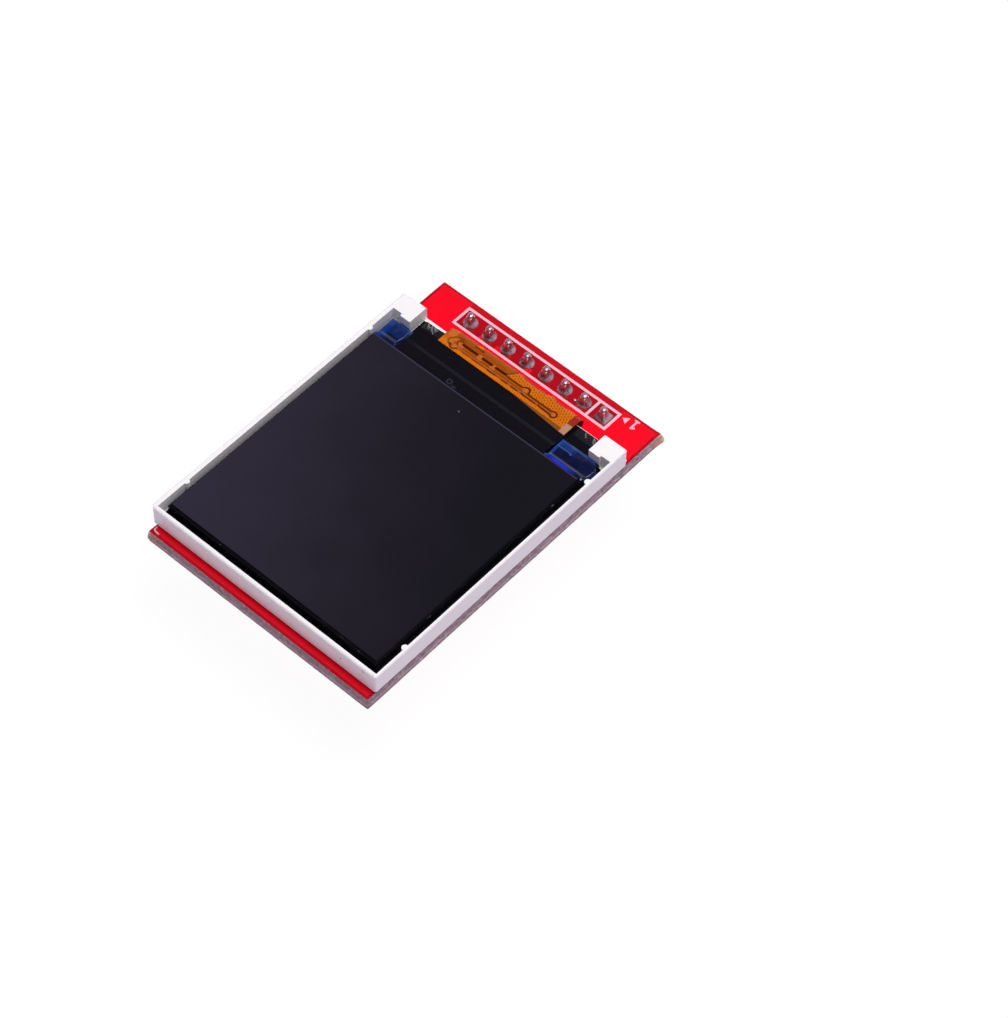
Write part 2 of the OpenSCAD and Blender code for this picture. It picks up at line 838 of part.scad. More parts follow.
// The right patch swells past the glass and is cut round towards the side wall
module glue_right() {
    x = [ledge_tape_x[1] + glue_gap, glass_x[1] + glass_gap_right / 2];
    y = [ledge_tape_y[0], block_y - glue_gap / 2];
    bevel = 0.6;
    color("#1b2f78")
        intersection() {
            along_x(x)
                glue_section(y[1], ledge_z + driver_h);
            raise([ledge_z, upper_glass_z[1] + 2 * glue_gap])
                polygon([
                    [x[0], y[0]], [x[1] - bevel, y[0]], [x[1], y[0] + 2 * bevel],
                    [x[1], y[1] - bevel], [x[1] - bevel, y[1]], [x[0], y[1]]
                ]);
        }
}

// ---- Back components, soldered under the board ----

// Chip part hanging from the board's back, with a metal cap at each end
module chip(i, h) {
    cap = chip_l * 0.2;
    body = [part_x(i) - chip_w / 2, part_x(i) + chip_w / 2];
    y = [-parts_row - chip_l / 2, -parts_row + chip_l / 2];
    span(inset(body, ink_t), y, [board_z[0] - h + ink_t, board_z[0] - ink_t]);
    for (s = [[y[0], y[0] + cap], [y[1] - cap, y[1]]])
        span(body, s, [board_z[0] - h, board_z[0]]);
}

module capacitor(i) {
    color("#b58a5e")
        chip(i, capacitor_h);
}

module resistor(i) {
    color("#202124")
        chip(i, resistor_h);
}

// Gull-wing lead drawn in Y and Z, from the body's side down to the board
module lead_section(side) {
    t = lead_t;
    root = regulator_w / 2;
    bend = root + lead_reach / 2;
    knee = board_z[0] - regulator_h / 2;
    mirror([side < 0 ? 1 : 0, 0]) {
        plate([root - t, bend], [knee - t, knee]);
        plate([bend - t, bend], [knee - t, board_z[0]]);
        plate([bend - t, root + lead_reach], [board_z[0] - t, board_z[0]]);
    }
}

// Regulator: a moulded body with drafted sides and three gull-wing leads
module regulator() {
    x = [part_x(3) - regulator_l / 2, part_x(3) + regulator_l / 2];
    y = [-regulator_w / 2, regulator_w / 2];
    standoff = lead_t;
    z = [board_z[0] - standoff - regulator_h, board_z[0] - standoff];
    d = regulator_w * 0.08;
    front = lead_pitch / 2;
    color("#1d1e21")
        translate([0, -parts_row, 0]) {
            intersection() {
                along_x(x)
                    drafted_section(y, z, d);
                along_y(y)
                    drafted_section(x, z, d);
            }
            for (s = [[-front, -1], [front, -1], [0, 1]])
                along_x([part_x(3) + s[0] - lead_w / 2, part_x(3) + s[0] + lead_w / 2])
                    lead_section(s[1]);
        }
}

module drafted_section(u, z, d) {
    polygon([
        [u[0] + d, z[0]], [u[1] - d, z[0]], [u[1], mid(z)],
        [u[1] - d, z[1]], [u[0] + d, z[1]], [u[0], mid(z)]
    ]);
}

// ---- Assembly ----

board();
pin_box_print();
header_body();
for (i = [1:pins]) {
    header_pin(i);
    solder_joint(i);
}
lcd_tray();
adhesive_sheet();
reflector_sheet();
light_guide();
diffuser_film();
lower_prism_film();
upper_prism_film();
rim_tape();
rear_polarizer();
lower_glass();
upper_glass();
front_polarizer();
driver_chip();
ledge_tape();
flex_tail();
flex_cover();
flex_pad();
flex_solder();
glue_left();
glue_right();
led_strip();
for (i = [1:leds])
    backlight_led(i);
regulator();
capacitor(1);  // capacitor_1
capacitor(5);  // capacitor_2
resistor(2);  // resistor_1
resistor(4);  // resistor_2
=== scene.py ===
"""Looks of the small colour display module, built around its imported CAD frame."""

import math
import random

import bmesh
import bpy
import numpy as np
from bpy.props import FloatProperty, FloatVectorProperty, IntProperty, PointerProperty
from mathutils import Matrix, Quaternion, Vector, noise


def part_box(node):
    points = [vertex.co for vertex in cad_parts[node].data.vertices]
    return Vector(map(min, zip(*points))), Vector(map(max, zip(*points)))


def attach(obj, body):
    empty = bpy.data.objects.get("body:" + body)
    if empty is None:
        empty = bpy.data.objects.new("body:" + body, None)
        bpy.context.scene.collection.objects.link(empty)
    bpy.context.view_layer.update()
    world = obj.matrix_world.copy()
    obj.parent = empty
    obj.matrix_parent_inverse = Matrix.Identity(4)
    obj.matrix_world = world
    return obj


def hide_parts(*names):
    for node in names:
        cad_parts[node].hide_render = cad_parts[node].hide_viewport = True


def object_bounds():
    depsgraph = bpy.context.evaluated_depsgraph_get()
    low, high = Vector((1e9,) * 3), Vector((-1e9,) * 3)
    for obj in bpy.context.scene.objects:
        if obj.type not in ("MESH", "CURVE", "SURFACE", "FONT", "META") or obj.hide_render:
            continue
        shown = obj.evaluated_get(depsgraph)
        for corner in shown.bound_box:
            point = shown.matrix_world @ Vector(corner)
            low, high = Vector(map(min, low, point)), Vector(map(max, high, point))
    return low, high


bl_info = {
    "name": "Display Module Dresser",
    "version": (1, 0, 0),
    "blender": (4, 5, 0),
    "location": "3D View > Sidebar > Display",
    "description": "Pieces and finishes of a small display module on a pin header",
    "category": "Object",
}

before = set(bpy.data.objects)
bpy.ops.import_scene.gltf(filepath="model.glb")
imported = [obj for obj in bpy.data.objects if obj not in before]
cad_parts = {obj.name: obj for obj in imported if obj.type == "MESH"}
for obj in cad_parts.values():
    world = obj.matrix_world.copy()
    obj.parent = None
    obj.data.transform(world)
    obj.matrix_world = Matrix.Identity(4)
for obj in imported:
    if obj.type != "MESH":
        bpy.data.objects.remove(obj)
CAD_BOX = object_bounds()
MM = 0.001
BODY = "root"
PINS = 8


# ---- Places -------------------------------------------------------------


def box_mm(node):
    """Lowest and highest corner of a CAD node, in millimetres."""
    low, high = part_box(node)
    return low / MM, high / MM


def pin_x(i):
    """Place of pin i along the row, in millimetres."""
    low, high = box_mm(f"header_pin_{i}")
    return (low.x + high.x) / 2


DECK = box_mm("adhesive_sheet")[0].z


def ease(t):
    """Smooth step from 0 to 1, for numbers and arrays."""
    t = np.clip(t, 0.0, 1.0)
    return t * t * (3 - 2 * t)


# ---- Shader expressions --------------------------------------------------


class Value:
    """An output socket that takes part in sums; each operation adds its node."""

    def __init__(self, finish, socket):
        self.finish = finish
        self.socket = socket

    def __add__(self, other):
        return self.finish.maths("ADD", self, other)

    def __radd__(self, other):
        return self.finish.maths("ADD", other, self)

    def __sub__(self, other):
        return self.finish.maths("SUBTRACT", self, other)

    def __rsub__(self, other):
        return self.finish.maths("SUBTRACT", other, self)

    def __mul__(self, other):
        return self.finish.maths("MULTIPLY", self, other)

    def __rmul__(self, other):
        return self.finish.maths("MULTIPLY", other, self)

    def __truediv__(self, other):
        return self.finish.maths("DIVIDE", self, other)

    def __rtruediv__(self, other):
        return self.finish.maths("DIVIDE", other, self)

    def __pow__(self, other):
        return self.finish.maths("POWER", self, other)

    def __abs__(self):
        return self.finish.maths("ABSOLUTE", self)

    def least(self, other):
        return self.finish.maths("MINIMUM", self, other)

    def most(self, other):
        return self.finish.maths("MAXIMUM", self, other)

    def step(self, low, high):
        """0 below low, 1 above high and smooth between; falls if high is the lower."""
        return self.finish.add(
            "ShaderNodeMapRange",
            {"interpolation_type": "SMOOTHSTEP"},
            {"Value": self, "From Min": low, "From Max": high},
        )

    def band(self, low, high, soft):
        """1 between low and high, with soft flanks."""
        return self.step(low - soft, low) * self.step(high + soft, high)


class Finish:
    """A material under construction."""

    def __init__(self, name, owner=None):
        self.material = owner or bpy.data.materials.new(name)
        self.material.use_nodes = True
        self.tree = self.material.node_tree
        self.tree.nodes.clear()
        self.point = None

    def add(self, kind, settings=None, sockets=None, out=0):
        """Add a node: its settings first, then the values or links of its sockets."""
        node = self.tree.nodes.new(kind)
        for name, value in (settings or {}).items():
            setattr(node, name, value)
        for name, value in (sockets or {}).items():
            socket = node.inputs[name]
            if isinstance(value, Value):
                self.tree.links.new(value.socket, socket)
            elif hasattr(value, "__len__") and len(value) == 3 and len(socket.default_value) == 4:
                socket.default_value = (*value, 1.0)
            else:
                socket.default_value = value
        return Value(self, node.outputs[out]) if node.outputs else None

    def maths(self, operation, first, second=None):
        sockets = {0: first} if second is None else {0: first, 1: second}
        return self.add("ShaderNodeMath", {"operation": operation}, sockets)

    def mix(self, factor, first, second):
        """Colour between first and second."""
        return self.add(
            "ShaderNodeMix", {"data_type": "RGBA"}, {0: factor, 6: first, 7: second}, out=2
        )

    def place(self):
        """Point in the row frame, in millimetres, as a vector."""
        if self.point is None:
            spot = self.add("ShaderNodeTexCoord", out=3)
            self.point = self.add(
                "ShaderNodeVectorMath",
                {"operation": "SCALE"},
                {"Vector": spot, "Scale": 1 / MM},
            )
        return self.point

    def xyz(self):
        """The three coordinates in millimetres."""
        apart = self.add("ShaderNodeSeparateXYZ", None, {"Vector": self.place()})
        outputs = apart.socket.node.outputs
        return [Value(self, outputs[k]) for k in range(3)]

    def facing(self):
        """The three parts of the surface's own direction."""
        normal = self.add("ShaderNodeNewGeometry", out=1)
        apart = self.add("ShaderNodeSeparateXYZ", None, {"Vector": normal})
        outputs = apart.socket.node.outputs
        return [Value(self, outputs[k]) for k in range(3)]

    def grain(self, size, detail=3.0, stretch=(1, 1, 1), roughness=0.5):
        """Noise from 0 to 1 whose blotches are about size millimetres across."""
        spot = self.add(
            "ShaderNodeVectorMath",
            {"operation": "MULTIPLY"},
            {0: self.place(), 1: tuple(1 / s for s in stretch)},
        )
        return self.add(
            "ShaderNodeTexNoise",
            None,
            {"Vector": spot, "Scale": 1 / size, "Detail": detail, "Roughness": roughness},
        )

    def away(self, spot, reach=(1, 1, 1)):
        """Distance from a spot in millimetres, each axis weighted by reach."""
        point = self.add("ShaderNodeVectorMath", {"operation": "MULTIPLY"}, {0: self.place(), 1: reach})
        goal = tuple(a * b for a, b in zip(spot, reach))
        return self.add("ShaderNodeVectorMath", {"operation": "DISTANCE"}, {0: point, 1: goal}, out=1)

    def specks(self, size, radius, share):
        """1 on dots of that radius, in about that share of cells of that size, in mm."""
        sockets = {"Vector": self.place(), "Scale": 1 / size}
        cells = self.add("ShaderNodeTexVoronoi", None, sockets, out=0)
        chance = self.add("ShaderNodeTexVoronoi", None, sockets, out=1)
        pick = self.add("ShaderNodeSeparateColor", None, {0: chance})
        dot = cells.step(radius / size * 1.4, radius / size * 0.6)
        return dot * pick.step(1 - share, 1 - share + 0.01)

    def seen(self):
        """1 for rays from the camera, a mirror or through glass."""
        outputs = self.add("ShaderNodeLightPath").socket.node.outputs
        straight = Value(self, outputs["Is Camera Ray"])
        mirrored = Value(self, outputs["Is Glossy Ray"])
        return straight.most(mirrored).most(Value(self, outputs["Is Transmission Ray"]))

    def bump(self, height, under=None):
        """Normal of a surface raised by a height in millimetres."""
        sockets = {"Height": height, "Distance": MM, "Strength": 1.0}
        if under is not None:
            sockets["Normal"] = under
        return self.add("ShaderNodeBump", None, sockets)

    def attribute(self, name):
        return self.add("ShaderNodeAttribute", {"attribute_name": name}, out=2)

    def surface(self, **sockets):
        """Close the material with a Principled surface. Underscores stand for spaces."""
        named = {name.replace("_", " "): value for name, value in sockets.items()}
        shader = self.add("ShaderNodeBsdfPrincipled", None, named)
        self.add("ShaderNodeOutputMaterial", None, {"Surface": shader})
        return self.material


# ---- Mesh helpers --------------------------------------------------------


def make_piece(name, shape, finish, stands_for=(), angle=35.0):
    """Turn a bmesh in millimetres into a piece that rides on the body."""
    bmesh.ops.scale(shape, vec=(MM, MM, MM), verts=shape.verts)
    bmesh.ops.recalc_face_normals(shape, faces=shape.faces)
    mesh = bpy.data.meshes.new(name)
    shape.to_mesh(mesh)
    shape.free()
    mesh.materials.append(finish)
    piece = bpy.data.objects.new(name, mesh)
    bpy.context.scene.collection.objects.link(piece)
    mesh.shade_smooth()
    mesh.set_sharp_from_angle(angle=math.radians(angle))
    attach(piece, BODY)
    if stands_for:
        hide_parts(*stands_for)
    return piece


def soften(piece, width, segments=2, angle=40.0):
    """Round a piece's edges by a width in metres, as moulding or wear leaves them."""
    edge = piece.modifiers.new("edge", "BEVEL")
    edge.width = width
    edge.segments = segments
    edge.limit_method = "ANGLE"
    edge.angle_limit = math.radians(angle)
    edge.use_clamp_overlap = False
    edge.harden_normals = True
    return piece


def dress(names, finish):
    """Give CAD nodes a finish."""
    for name in names:
        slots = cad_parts[name].data.materials
        slots.clear()
        slots.append(finish)


def grid_faces(shape, rows, closed_across=False):
    """Join rows of vertices with quads."""
    count = len(rows[0])
    for one, two in zip(rows, rows[1:]):
        for k in range(count if closed_across else count - 1):
            j = (k + 1) % count
            shape.faces.new((one[k], one[j], two[j], two[k]))


def rounded_path(x, y, radius, step):
    """Points round a rectangle with rounded corners, each with its outward direction."""
    path = []
    centres = [(x[1] - radius, y[0] + radius), (x[1] - radius, y[1] - radius)]
    centres += [(x[0] + radius, y[1] - radius), (x[0] + radius, y[0] + radius)]
    for k, centre in enumerate(centres):
        start = math.radians(90 * (k - 1))
        turns = [start + math.radians(90) * j / 4 for j in range(5)]
        path += [
            (Vector(centre) + radius * Vector((math.cos(a), math.sin(a))), Vector((math.cos(a), math.sin(a))))
            for a in turns
        ]
        after = centres[(k + 1) % 4]
        out = Vector((math.cos(turns[-1]), math.sin(turns[-1])))
        begin, end = Vector(centre) + radius * out, Vector(after) + radius * out
        count = round((end - begin).length / step)
        path += [(begin.lerp(end, j / count), out) for j in range(1, count)]
    return path


def stroke(shape, points, width, low, high):
    """Add a raised line of even width along a path, with mitred corners."""
    points = [Vector(p) for p in points]
    left, right = [], []
    for k, p in enumerate(points):
        before = (p - points[k - 1]).normalized() if k else None
        after = (points[k + 1] - p).normalized() if k + 1 < len(points) else None
        along = ((before or after) + (after or before)).normalized()
        side = Vector((-along.y, along.x))
        reach = width / 2 / max(0.3, side.dot(Vector((-(before or after).y, (before or after).x))))
        left.append(p + side * reach)
        right.append(p - side * reach)
    rows = []
    for a, b in zip(left, right):
        rows.append([shape.verts.new((*q, z)) for q, z in ((a, low), (a, high), (b, high), (b, low))])
    grid_faces(shape, rows, closed_across=True)
    shape.faces.new(rows[0])
    shape.faces.new(rows[-1])


def blob(shape, spot, radius, height, turns=20, steps=5):
    """Add a low rounded cap on a disc."""
    rows = []
    for k in range(steps):
        t = k / steps * math.pi / 2
        r = radius * math.cos(t)
        row = []
        for j in range(turns):
            a = 2 * math.pi * j / turns
            at = (spot[0] + r * math.cos(a), spot[1] + r * math.sin(a), spot[2] + height * math.sin(t))
            row.append(shape.verts.new(at))
        rows.append(row)
    grid_faces(shape, rows, closed_across=True)
    shape.faces.new(rows[0])
    tip = shape.verts.new((spot[0], spot[1], spot[2] + height))
    for j in range(turns):
        shape.faces.new((rows[-1][j], rows[-1][(j + 1) % turns], tip))


def sheet_between(shape, top, foot):
    """Close a grid of rows of vertices with a wall down to foot points and a bottom."""
    ring = top[0][:-1] + [row[-1] for row in top[:-1]]
    ring += top[-1][:0:-1] + [row[0] for row in top[:0:-1]]
    under = [shape.verts.new(foot(vert.co)) for vert in ring]
    grid_faces(shape, top)
    grid_faces(shape, [ring, under], closed_across=True)
    shape.faces.new(under)


# ---- Settings ------------------------------------------------------------


def length(name, about, default, low=0.0, high=0.05):
    return FloatProperty(
        name=name,
        description=about,
        default=default,
        min=low,
        max=high,
        unit="LENGTH",
        subtype="DISTANCE",
        precision=6,
    )


def colour(name, about, default):
    return FloatVectorProperty(
        name=name, description=about, default=default, size=3, subtype="COLOR", min=0, max=1
    )


class TraySettings(bpy.types.PropertyGroup):
    edge: length("Edge", "Rounding of the moulded edges", 0.00005)
    plastic: colour("Plastic", "Colour of the moulding", (0.95, 0.93, 0.95))
    scuff: colour("Scuff", "Colour of scuffed plastic", (0.66, 0.6, 0.64))


class PanelSettings(bpy.types.PropertyGroup):
    film: colour("Film", "Colour of the front polarizer", (0.0085, 0.007, 0.0125))
    # Edge is a painted highlight: the pale colour of the polarizer's rear edge where it catches the light.
    edge: colour("Edge", "Pale rear edge of the polarizer", (0.04, 0.038, 0.07))
    glass: colour("Glass", "Colour of the glass over its dark border", (0.0032, 0.0027, 0.004))
    tape: colour("Tape", "Colour of the black tapes", (0.0045, 0.0038, 0.0068))
    crease: length("Crease", "Height of the creases in the tape", 0.0001)


class FlexSettings(bpy.types.PropertyGroup):
    cell: length("Cell", "Size of the mesh cells that carry the pattern", 0.00004)
    relief: length("Relief", "Height of the copper under the film", 0.000014)
    amber: colour("Amber", "Film over bright copper", (0.7, 0.165, 0.004))
    dull: colour("Dull", "Film over dull copper", (0.33, 0.062, 0.003))
    pink: colour("Pink", "Film over the round pads", (0.56, 0.15, 0.03))
    brown: colour("Brown", "Film where the copper is etched away", (0.055, 0.007, 0.0008))
    base: colour("Base", "Bare base film", (0.3, 0.085, 0.006))
    # Painted shade: the base film over the fold is darkened to a wine red, tinted like the red board below.
    fold_shade: colour("Wine", "Bare base film over red board", (0.33, 0.016, 0.002))
    pad: colour("Pad", "Pale stiffener", (0.5, 0.235, 0.13))


class GlueSettings(bpy.types.PropertyGroup):
    deep: colour("Deep", "Colour of the thick glue", (0.0025, 0.0045, 0.03))
    clear: colour("Clear", "Colour of the thin glue", (0.005, 0.06, 0.34))
    lit: colour("Lit", "Colour along its lit front edge", (0.012, 0.03, 0.75))


class BoardSettings(bpy.types.PropertyGroup):
    mask: colour("Mask", "Solder mask over copper", (0.95, 0.0025, 0.018))
    bare: colour("Bare mask", "Solder mask over bare laminate", (0.46, 0.003, 0.012))
    rear: colour("Rear mask", "Solder mask along the rear edge", (0.56, 0.006, 0.016))
    laminate: colour("Laminate", "Cut glass laminate", (0.5, 0.36, 0.41))
    resin: colour("Resin", "Torn resin at the corners", (0.56, 0.3, 0.19))
    ink: colour("Ink", "Printed white ink", (0.88, 0.5, 0.6))
    rough: length("Roughness", "Unevenness of the snapped edges", 0.000035)
    margin: length("Margin", "Width of the border without copper", 0.00034)
    web: length("Web", "How far the snapped web stands out", 0.00012)


class SolderSettings(bpy.types.PropertyGroup):
    # The pink in this metal colour is a painted reflection of the red board over solder's own grey.
    metal: colour("Metal", "Colour of the solder", (0.44, 0.3, 0.36))
    pad: length("Pad", "Radius of the round pads", 0.00083)
    height: length("Height", "Height of the cones", 0.0009)
    seed: IntProperty(name="Seed", description="Choice of the joints' small differences", default=7)


class HeaderSettings(bpy.types.PropertyGroup):
    plastic: colour("Plastic", "Colour of the header's plastic", (0.012, 0.012, 0.013))
    pins: colour("Pins", "Colour of the plated pins", (0.82, 0.66, 0.36))
    edge: length("Edge", "Rounding of the plastic's edges", 0.00006)


class BackSettings(bpy.types.PropertyGroup):
    ceramic: colour("Ceramic", "Body of the capacitors", (0.42, 0.25, 0.13))
    resistor: colour("Resistor", "Body of the resistors", (0.02, 0.02, 0.022))


class StageSettings(bpy.types.PropertyGroup):
    floor: colour("Floor", "Colour that the floor throws back", (0.8, 0.71, 0.85))
    key: FloatProperty(name="Key", description="Power of the soft light overhead", default=4.5, unit="POWER")
    fill: FloatProperty(name="Fill", description="Strength of the light all round", default=0.24)
    zenith: FloatProperty(name="Zenith", description="Brightness of the sky overhead", default=0.05)


SETTINGS = {
    "tray": TraySettings,
    "panel": PanelSettings,
    "flex": FlexSettings,
    "glue": GlueSettings,
    "board": BoardSettings,
    "solder": SolderSettings,
    "header": HeaderSettings,
    "back": BackSettings,
    "stage": StageSettings,
}


def chosen(context, group):
    return getattr(context.scene, f"display_{group}")


# ---- Finishes ------------------------------------------------------------


def tray_plastic(s):
    f = Finish("tray_plastic")
    low, _ = box_mm("lcd_tray")
    cloud = f.grain(3.0, 4)
    fine = f.grain(0.12, 2)
    scuff = f.grain(0.5, 4, stretch=(3, 3, 0.35)).step(0.64, 0.74)
    base = f.mix(cloud.step(0.3, 0.75) * 0.3, tuple(s.plastic), tuple(c * 0.94 for c in s.plastic))
    base = f.mix(scuff * 0.25, base, tuple(s.scuff))
    base = f.mix(f.specks(1.1, 0.035, 0.05) * 0.5, base, (0.25, 0.2, 0.22))
    dent = f.away((-13.1, low.y, 5.3)).band(0.3, 0.36, 0.04)
    dent = dent.most(f.away((12.8, low.y, 5.4)).band(0.3, 0.36, 0.04))
    base = f.mix(dent * 0.4, base, tuple(s.scuff))
    base = f.mix(f.away((10.1, low.y, 5.64)).step(0.11, 0.05), base, (0.02, 0.02, 0.025))
    base = f.mix(f.away((13.0, low.y, 6.3), (0.5, 1, 1)).step(0.16, 0.06) * 0.7, base, (0.25, 0.22, 0.25))
    return f.surface(
        Base_Color=base,
        Roughness=0.38 + cloud * 0.12 + scuff * 0.1,
        Normal=f.bump(fine * 0.003 + cloud * 0.006 - dent * 0.02),
        IOR=1.49,
        Subsurface_Weight=0.08,
        Subsurface_Radius=(1.0, 0.8, 0.8),
        Subsurface_Scale=0.0006,
    )


def polarizer_finish(s):
    f = Finish("polarizer_film")
    low, high = box_mm("front_polarizer")
    x, y, z = f.xyz()
    across = (x - low.x) / (high.x - low.x)
    along = (y - low.y) / (high.y - low.y)
    # Painted reflection: the film is lightened up to 3.6 times towards its left and front, where it mirrors a
    # brighter sky.
    painted_reflection = (1 - across) * 0.75 + (1 - along) * 0.45 + f.grain(6.0, 3) * 0.25
    base = f.mix(painted_reflection.step(0.3, 1.5), tuple(c * 0.85 for c in s.film), tuple(c * 3.6 for c in s.film))
    # Painted highlight: a pale line along the film's rear edge, where the edge catches the light.
    line = y.step(high.y - 0.2, high.y - 0.1)
    base = f.mix(line, base, tuple(s.edge))
    # Below its top face the film takes 0.8 of that pale edge colour.
    base = f.mix(abs(z - high.z).step(0.02, 0.05) * 0.8, base, tuple(c * 0.8 for c in s.edge))
    dust = f.specks(1.7, 0.03, 0.06).most(f.away((-1.1, -10.4, high.z)).step(0.14, 0.07))
    base = f.mix(dust * 0.7, base, (0.14, 0.13, 0.15))
    return f.surface(
        Base_Color=base,
        Roughness=0.24 + f.grain(0.06, 2) * 0.05,
        Specular_IOR_Level=0.12,
        Normal=f.bump(f.grain(0.05, 2) * 0.0006 + f.grain(5.0, 2) * 0.004),
    )


def glass_finish(s):
    f = Finish("panel_glass")
    low, high = box_mm("upper_glass")
    x, y, _ = f.xyz()
    smear = f.grain(2.0, 4).step(0.45, 0.8)
    base = f.mix(smear * 0.3, tuple(s.glass), (0.007, 0.006, 0.009))
    chips = f.grain(0.3, 3, stretch=(4, 4, 0.6)).step(0.62, 0.72)
    chips = chips * (x - low.x).least(high.x - x).step(0.2, 0.05)
    streaks = f.grain(0.25, 3, stretch=(9, 0.5, 1)).step(0.6, 0.75)
    streaks = streaks * y.step(low.y + 0.6, low.y + 0.3) * x.step(5.0, 8.5)
    base = f.mix(chips.most(streaks) * 0.6, base, (0.16, 0.15, 0.17))
    base = f.mix(f.specks(0.8, 0.04, 0.1) * 0.8, base, (0.4, 0.38, 0.42))
    return f.surface(
        Base_Color=base, Roughness=0.07 + smear * 0.1, Specular_IOR_Level=0.35, IOR=1.52
    )


def tape_finish(s):
    f = Finish("black_tape")
    top = box_mm("ledge_tape")[1].z
    creased = f.grain(0.9, 3)
    ring = f.away((-4.35, -8.2, top), (1, 1, 0)).band(0.24, 0.3, 0.08)
    smear = f.away((-3.6, -8.45, top), (0.5, 1, 0)).step(0.2, 0.08)
    base = f.mix(f.grain(0.4, 4).step(0.4, 0.8) * 0.4, tuple(s.tape), tuple(c * 2.0 for c in s.tape))
    base = f.mix(ring.most(smear) * 0.8, base, (0.03, 0.03, 0.05))
    base = f.mix(f.specks(0.9, 0.03, 0.07) * 0.7, base, (0.4, 0.37, 0.42))
    return f.surface(
        Base_Color=base,
        Roughness=0.3 + creased * 0.1,
        Specular_IOR_Level=0.04,
        Normal=f.bump(creased * 0.012 + f.grain(0.15, 2) * 0.002 + ring * 0.03),
    )


def thin_film(name, base, roughness, dull):
    f = Finish(name)
    cloud = f.grain(4.0, 3)
    return f.surface(
        Base_Color=f.mix(cloud.step(0.3, 0.8), base, tuple(c * dull for c in base)),
        Roughness=roughness + cloud * 0.1,
        Normal=f.bump(f.grain(0.3, 2) * 0.001),
    )


def solder_finish(s):
    f = Finish("solder")
    cloud = f.grain(0.5, 3)
    # Metal colour: solder grey with a pink cast that is a painted reflection of the red board.
    base = f.mix(cloud.step(0.35, 0.7), tuple(s.metal), tuple(c * 0.7 for c in s.metal))
    return f.surface(
        Base_Color=base,
        Metallic=1.0,
        Roughness=0.26 + cloud * 0.14,
        Normal=f.bump(f.grain(0.18, 3) * 0.01 + cloud * 0.02),
    )


COPPER_RUNS = [(-6.6, 0.4), (-4.5, 0.36), (-0.58, 0.36), (3.75, 0.36), (6.35, 0.36)]


def mask_finish(s):
    """Solder mask over copper and bare laminate, with the laminate at the cut edges."""
    f = Finish("solder_mask")
    low, high = box_mm("board")
    frame_low, frame_high = box_mm("pin_box_print")
    x, y, z = f.xyz()
    _, _, nz = f.facing()
    web, margin = s.web / MM, s.margin / MM
    rim = (x - low.x - web).least(high.x - web - x)
    rim = rim.least((y - low.y - web).least(high.y - web - y))
    bare = rim.step(margin + 0.05, margin - 0.03)
    inside = x.band(frame_low.x + 0.1, frame_high.x - 0.1, 0.05)
    inside = inside * y.step(frame_low.y + 0.12, frame_low.y + 0.24)
    for place, half in COPPER_RUNS:
        inside = inside * (1 - x.band(place - half, place + half, 0.12) * y.step(-0.3, -0.45))
    bare = bare.most(inside)
    cloud = f.grain(2.2, 4)
    weave = f.add(
        "ShaderNodeTexWave",
        {"wave_type": "BANDS", "bands_direction": "X"},
        {"Vector": f.place(), "Scale": 0.9, "Distortion": 0.4, "Detail": 1.0},
    )
    mask = f.mix(cloud.step(0.3, 0.8) * 0.25, tuple(s.mask), tuple(c * 0.88 for c in s.mask))
    dark = f.mix(cloud.step(0.35, 0.7), tuple(s.bare), tuple(c * 0.8 for c in s.bare))
    dark = f.mix(y.step(frame_high.y - 0.2, frame_high.y), dark, tuple(s.rear))
    mask = f.mix(bare, mask, dark)
    fibre = f.grain(0.2, 4, stretch=(1.8, 1.8, 0.5))
    blotch = f.grain(0.45, 4)
    cut = f.mix(fibre.step(0.36, 0.64), tuple(s.laminate), tuple(c * 0.45 for c in s.laminate))
    cut = f.mix(blotch.step(0.56, 0.72) * 0.5, cut, tuple(c * 1.5 for c in s.laminate))
    middle = (low.z + high.z) / 2
    cut = f.mix(z.band(middle - 0.1, middle + 0.1, 0.08) * 0.35, cut, (0.78, 0.66, 0.68))
    cut = f.mix(z.step(low.z + 0.12, low.z + 0.05) * 0.15, cut, (0.7, 0.56, 0.6))
    far = x.step(low.x + 0.6, low.x + 0.3).most(y.step(high.y - 0.6, high.y - 0.3))
    cut = f.mix(far * 0.8, cut, (0.86, 0.76, 0.84))
    for corner in ((high.x, high.y), (low.x, low.y)):
        torn = f.away((*corner, middle)).step(2.2, 0.5)
        cut = f.mix(torn * blotch.step(0.3, 0.6), cut, tuple(s.resin))
    side = abs(nz).step(0.93, 0.8)
    return f.surface(
        Base_Color=f.mix(side, mask, cut),
        Roughness=0.2 + side * 0.55 + cloud * 0.06,
        Specular_IOR_Level=0.12,
        Normal=f.bump(
            bare.step(0.9, 0.1) * 0.03 + weave * 0.002 + side * fibre * 0.08 + f.grain(0.25, 2) * 0.002
        ),
    )


def ink_finish(s):
    f = Finish("white_ink")
    patch = f.grain(0.22, 4)
    base = f.mix(patch.step(0.6, 0.8) * 0.5, tuple(s.ink), (0.8, 0.3, 0.38))
    return f.surface(
        Base_Color=base, Roughness=0.5, Normal=f.bump(patch * 0.008 + f.grain(0.06, 2) * 0.002)
    )


def flex_cover_finish(s):
    f = Finish("flex_amber")
    cloud = f.grain(0.8, 3)
    base = f.mix(cloud.step(0.3, 0.8) * 0.4, tuple(s.amber), tuple(c * 0.82 for c in s.amber))
    base = f.mix(f.attribute("dull"), base, tuple(s.dull))
    base = f.mix(f.attribute("pink"), base, tuple(s.pink))
    base = f.mix(f.attribute("etched"), base, tuple(s.brown))
    return f.surface(
        Base_Color=base,
        Roughness=0.2 + cloud * 0.1,
        Specular_IOR_Level=0.1,
        Normal=f.bump(f.grain(0.1, 2) * 0.001),
    )


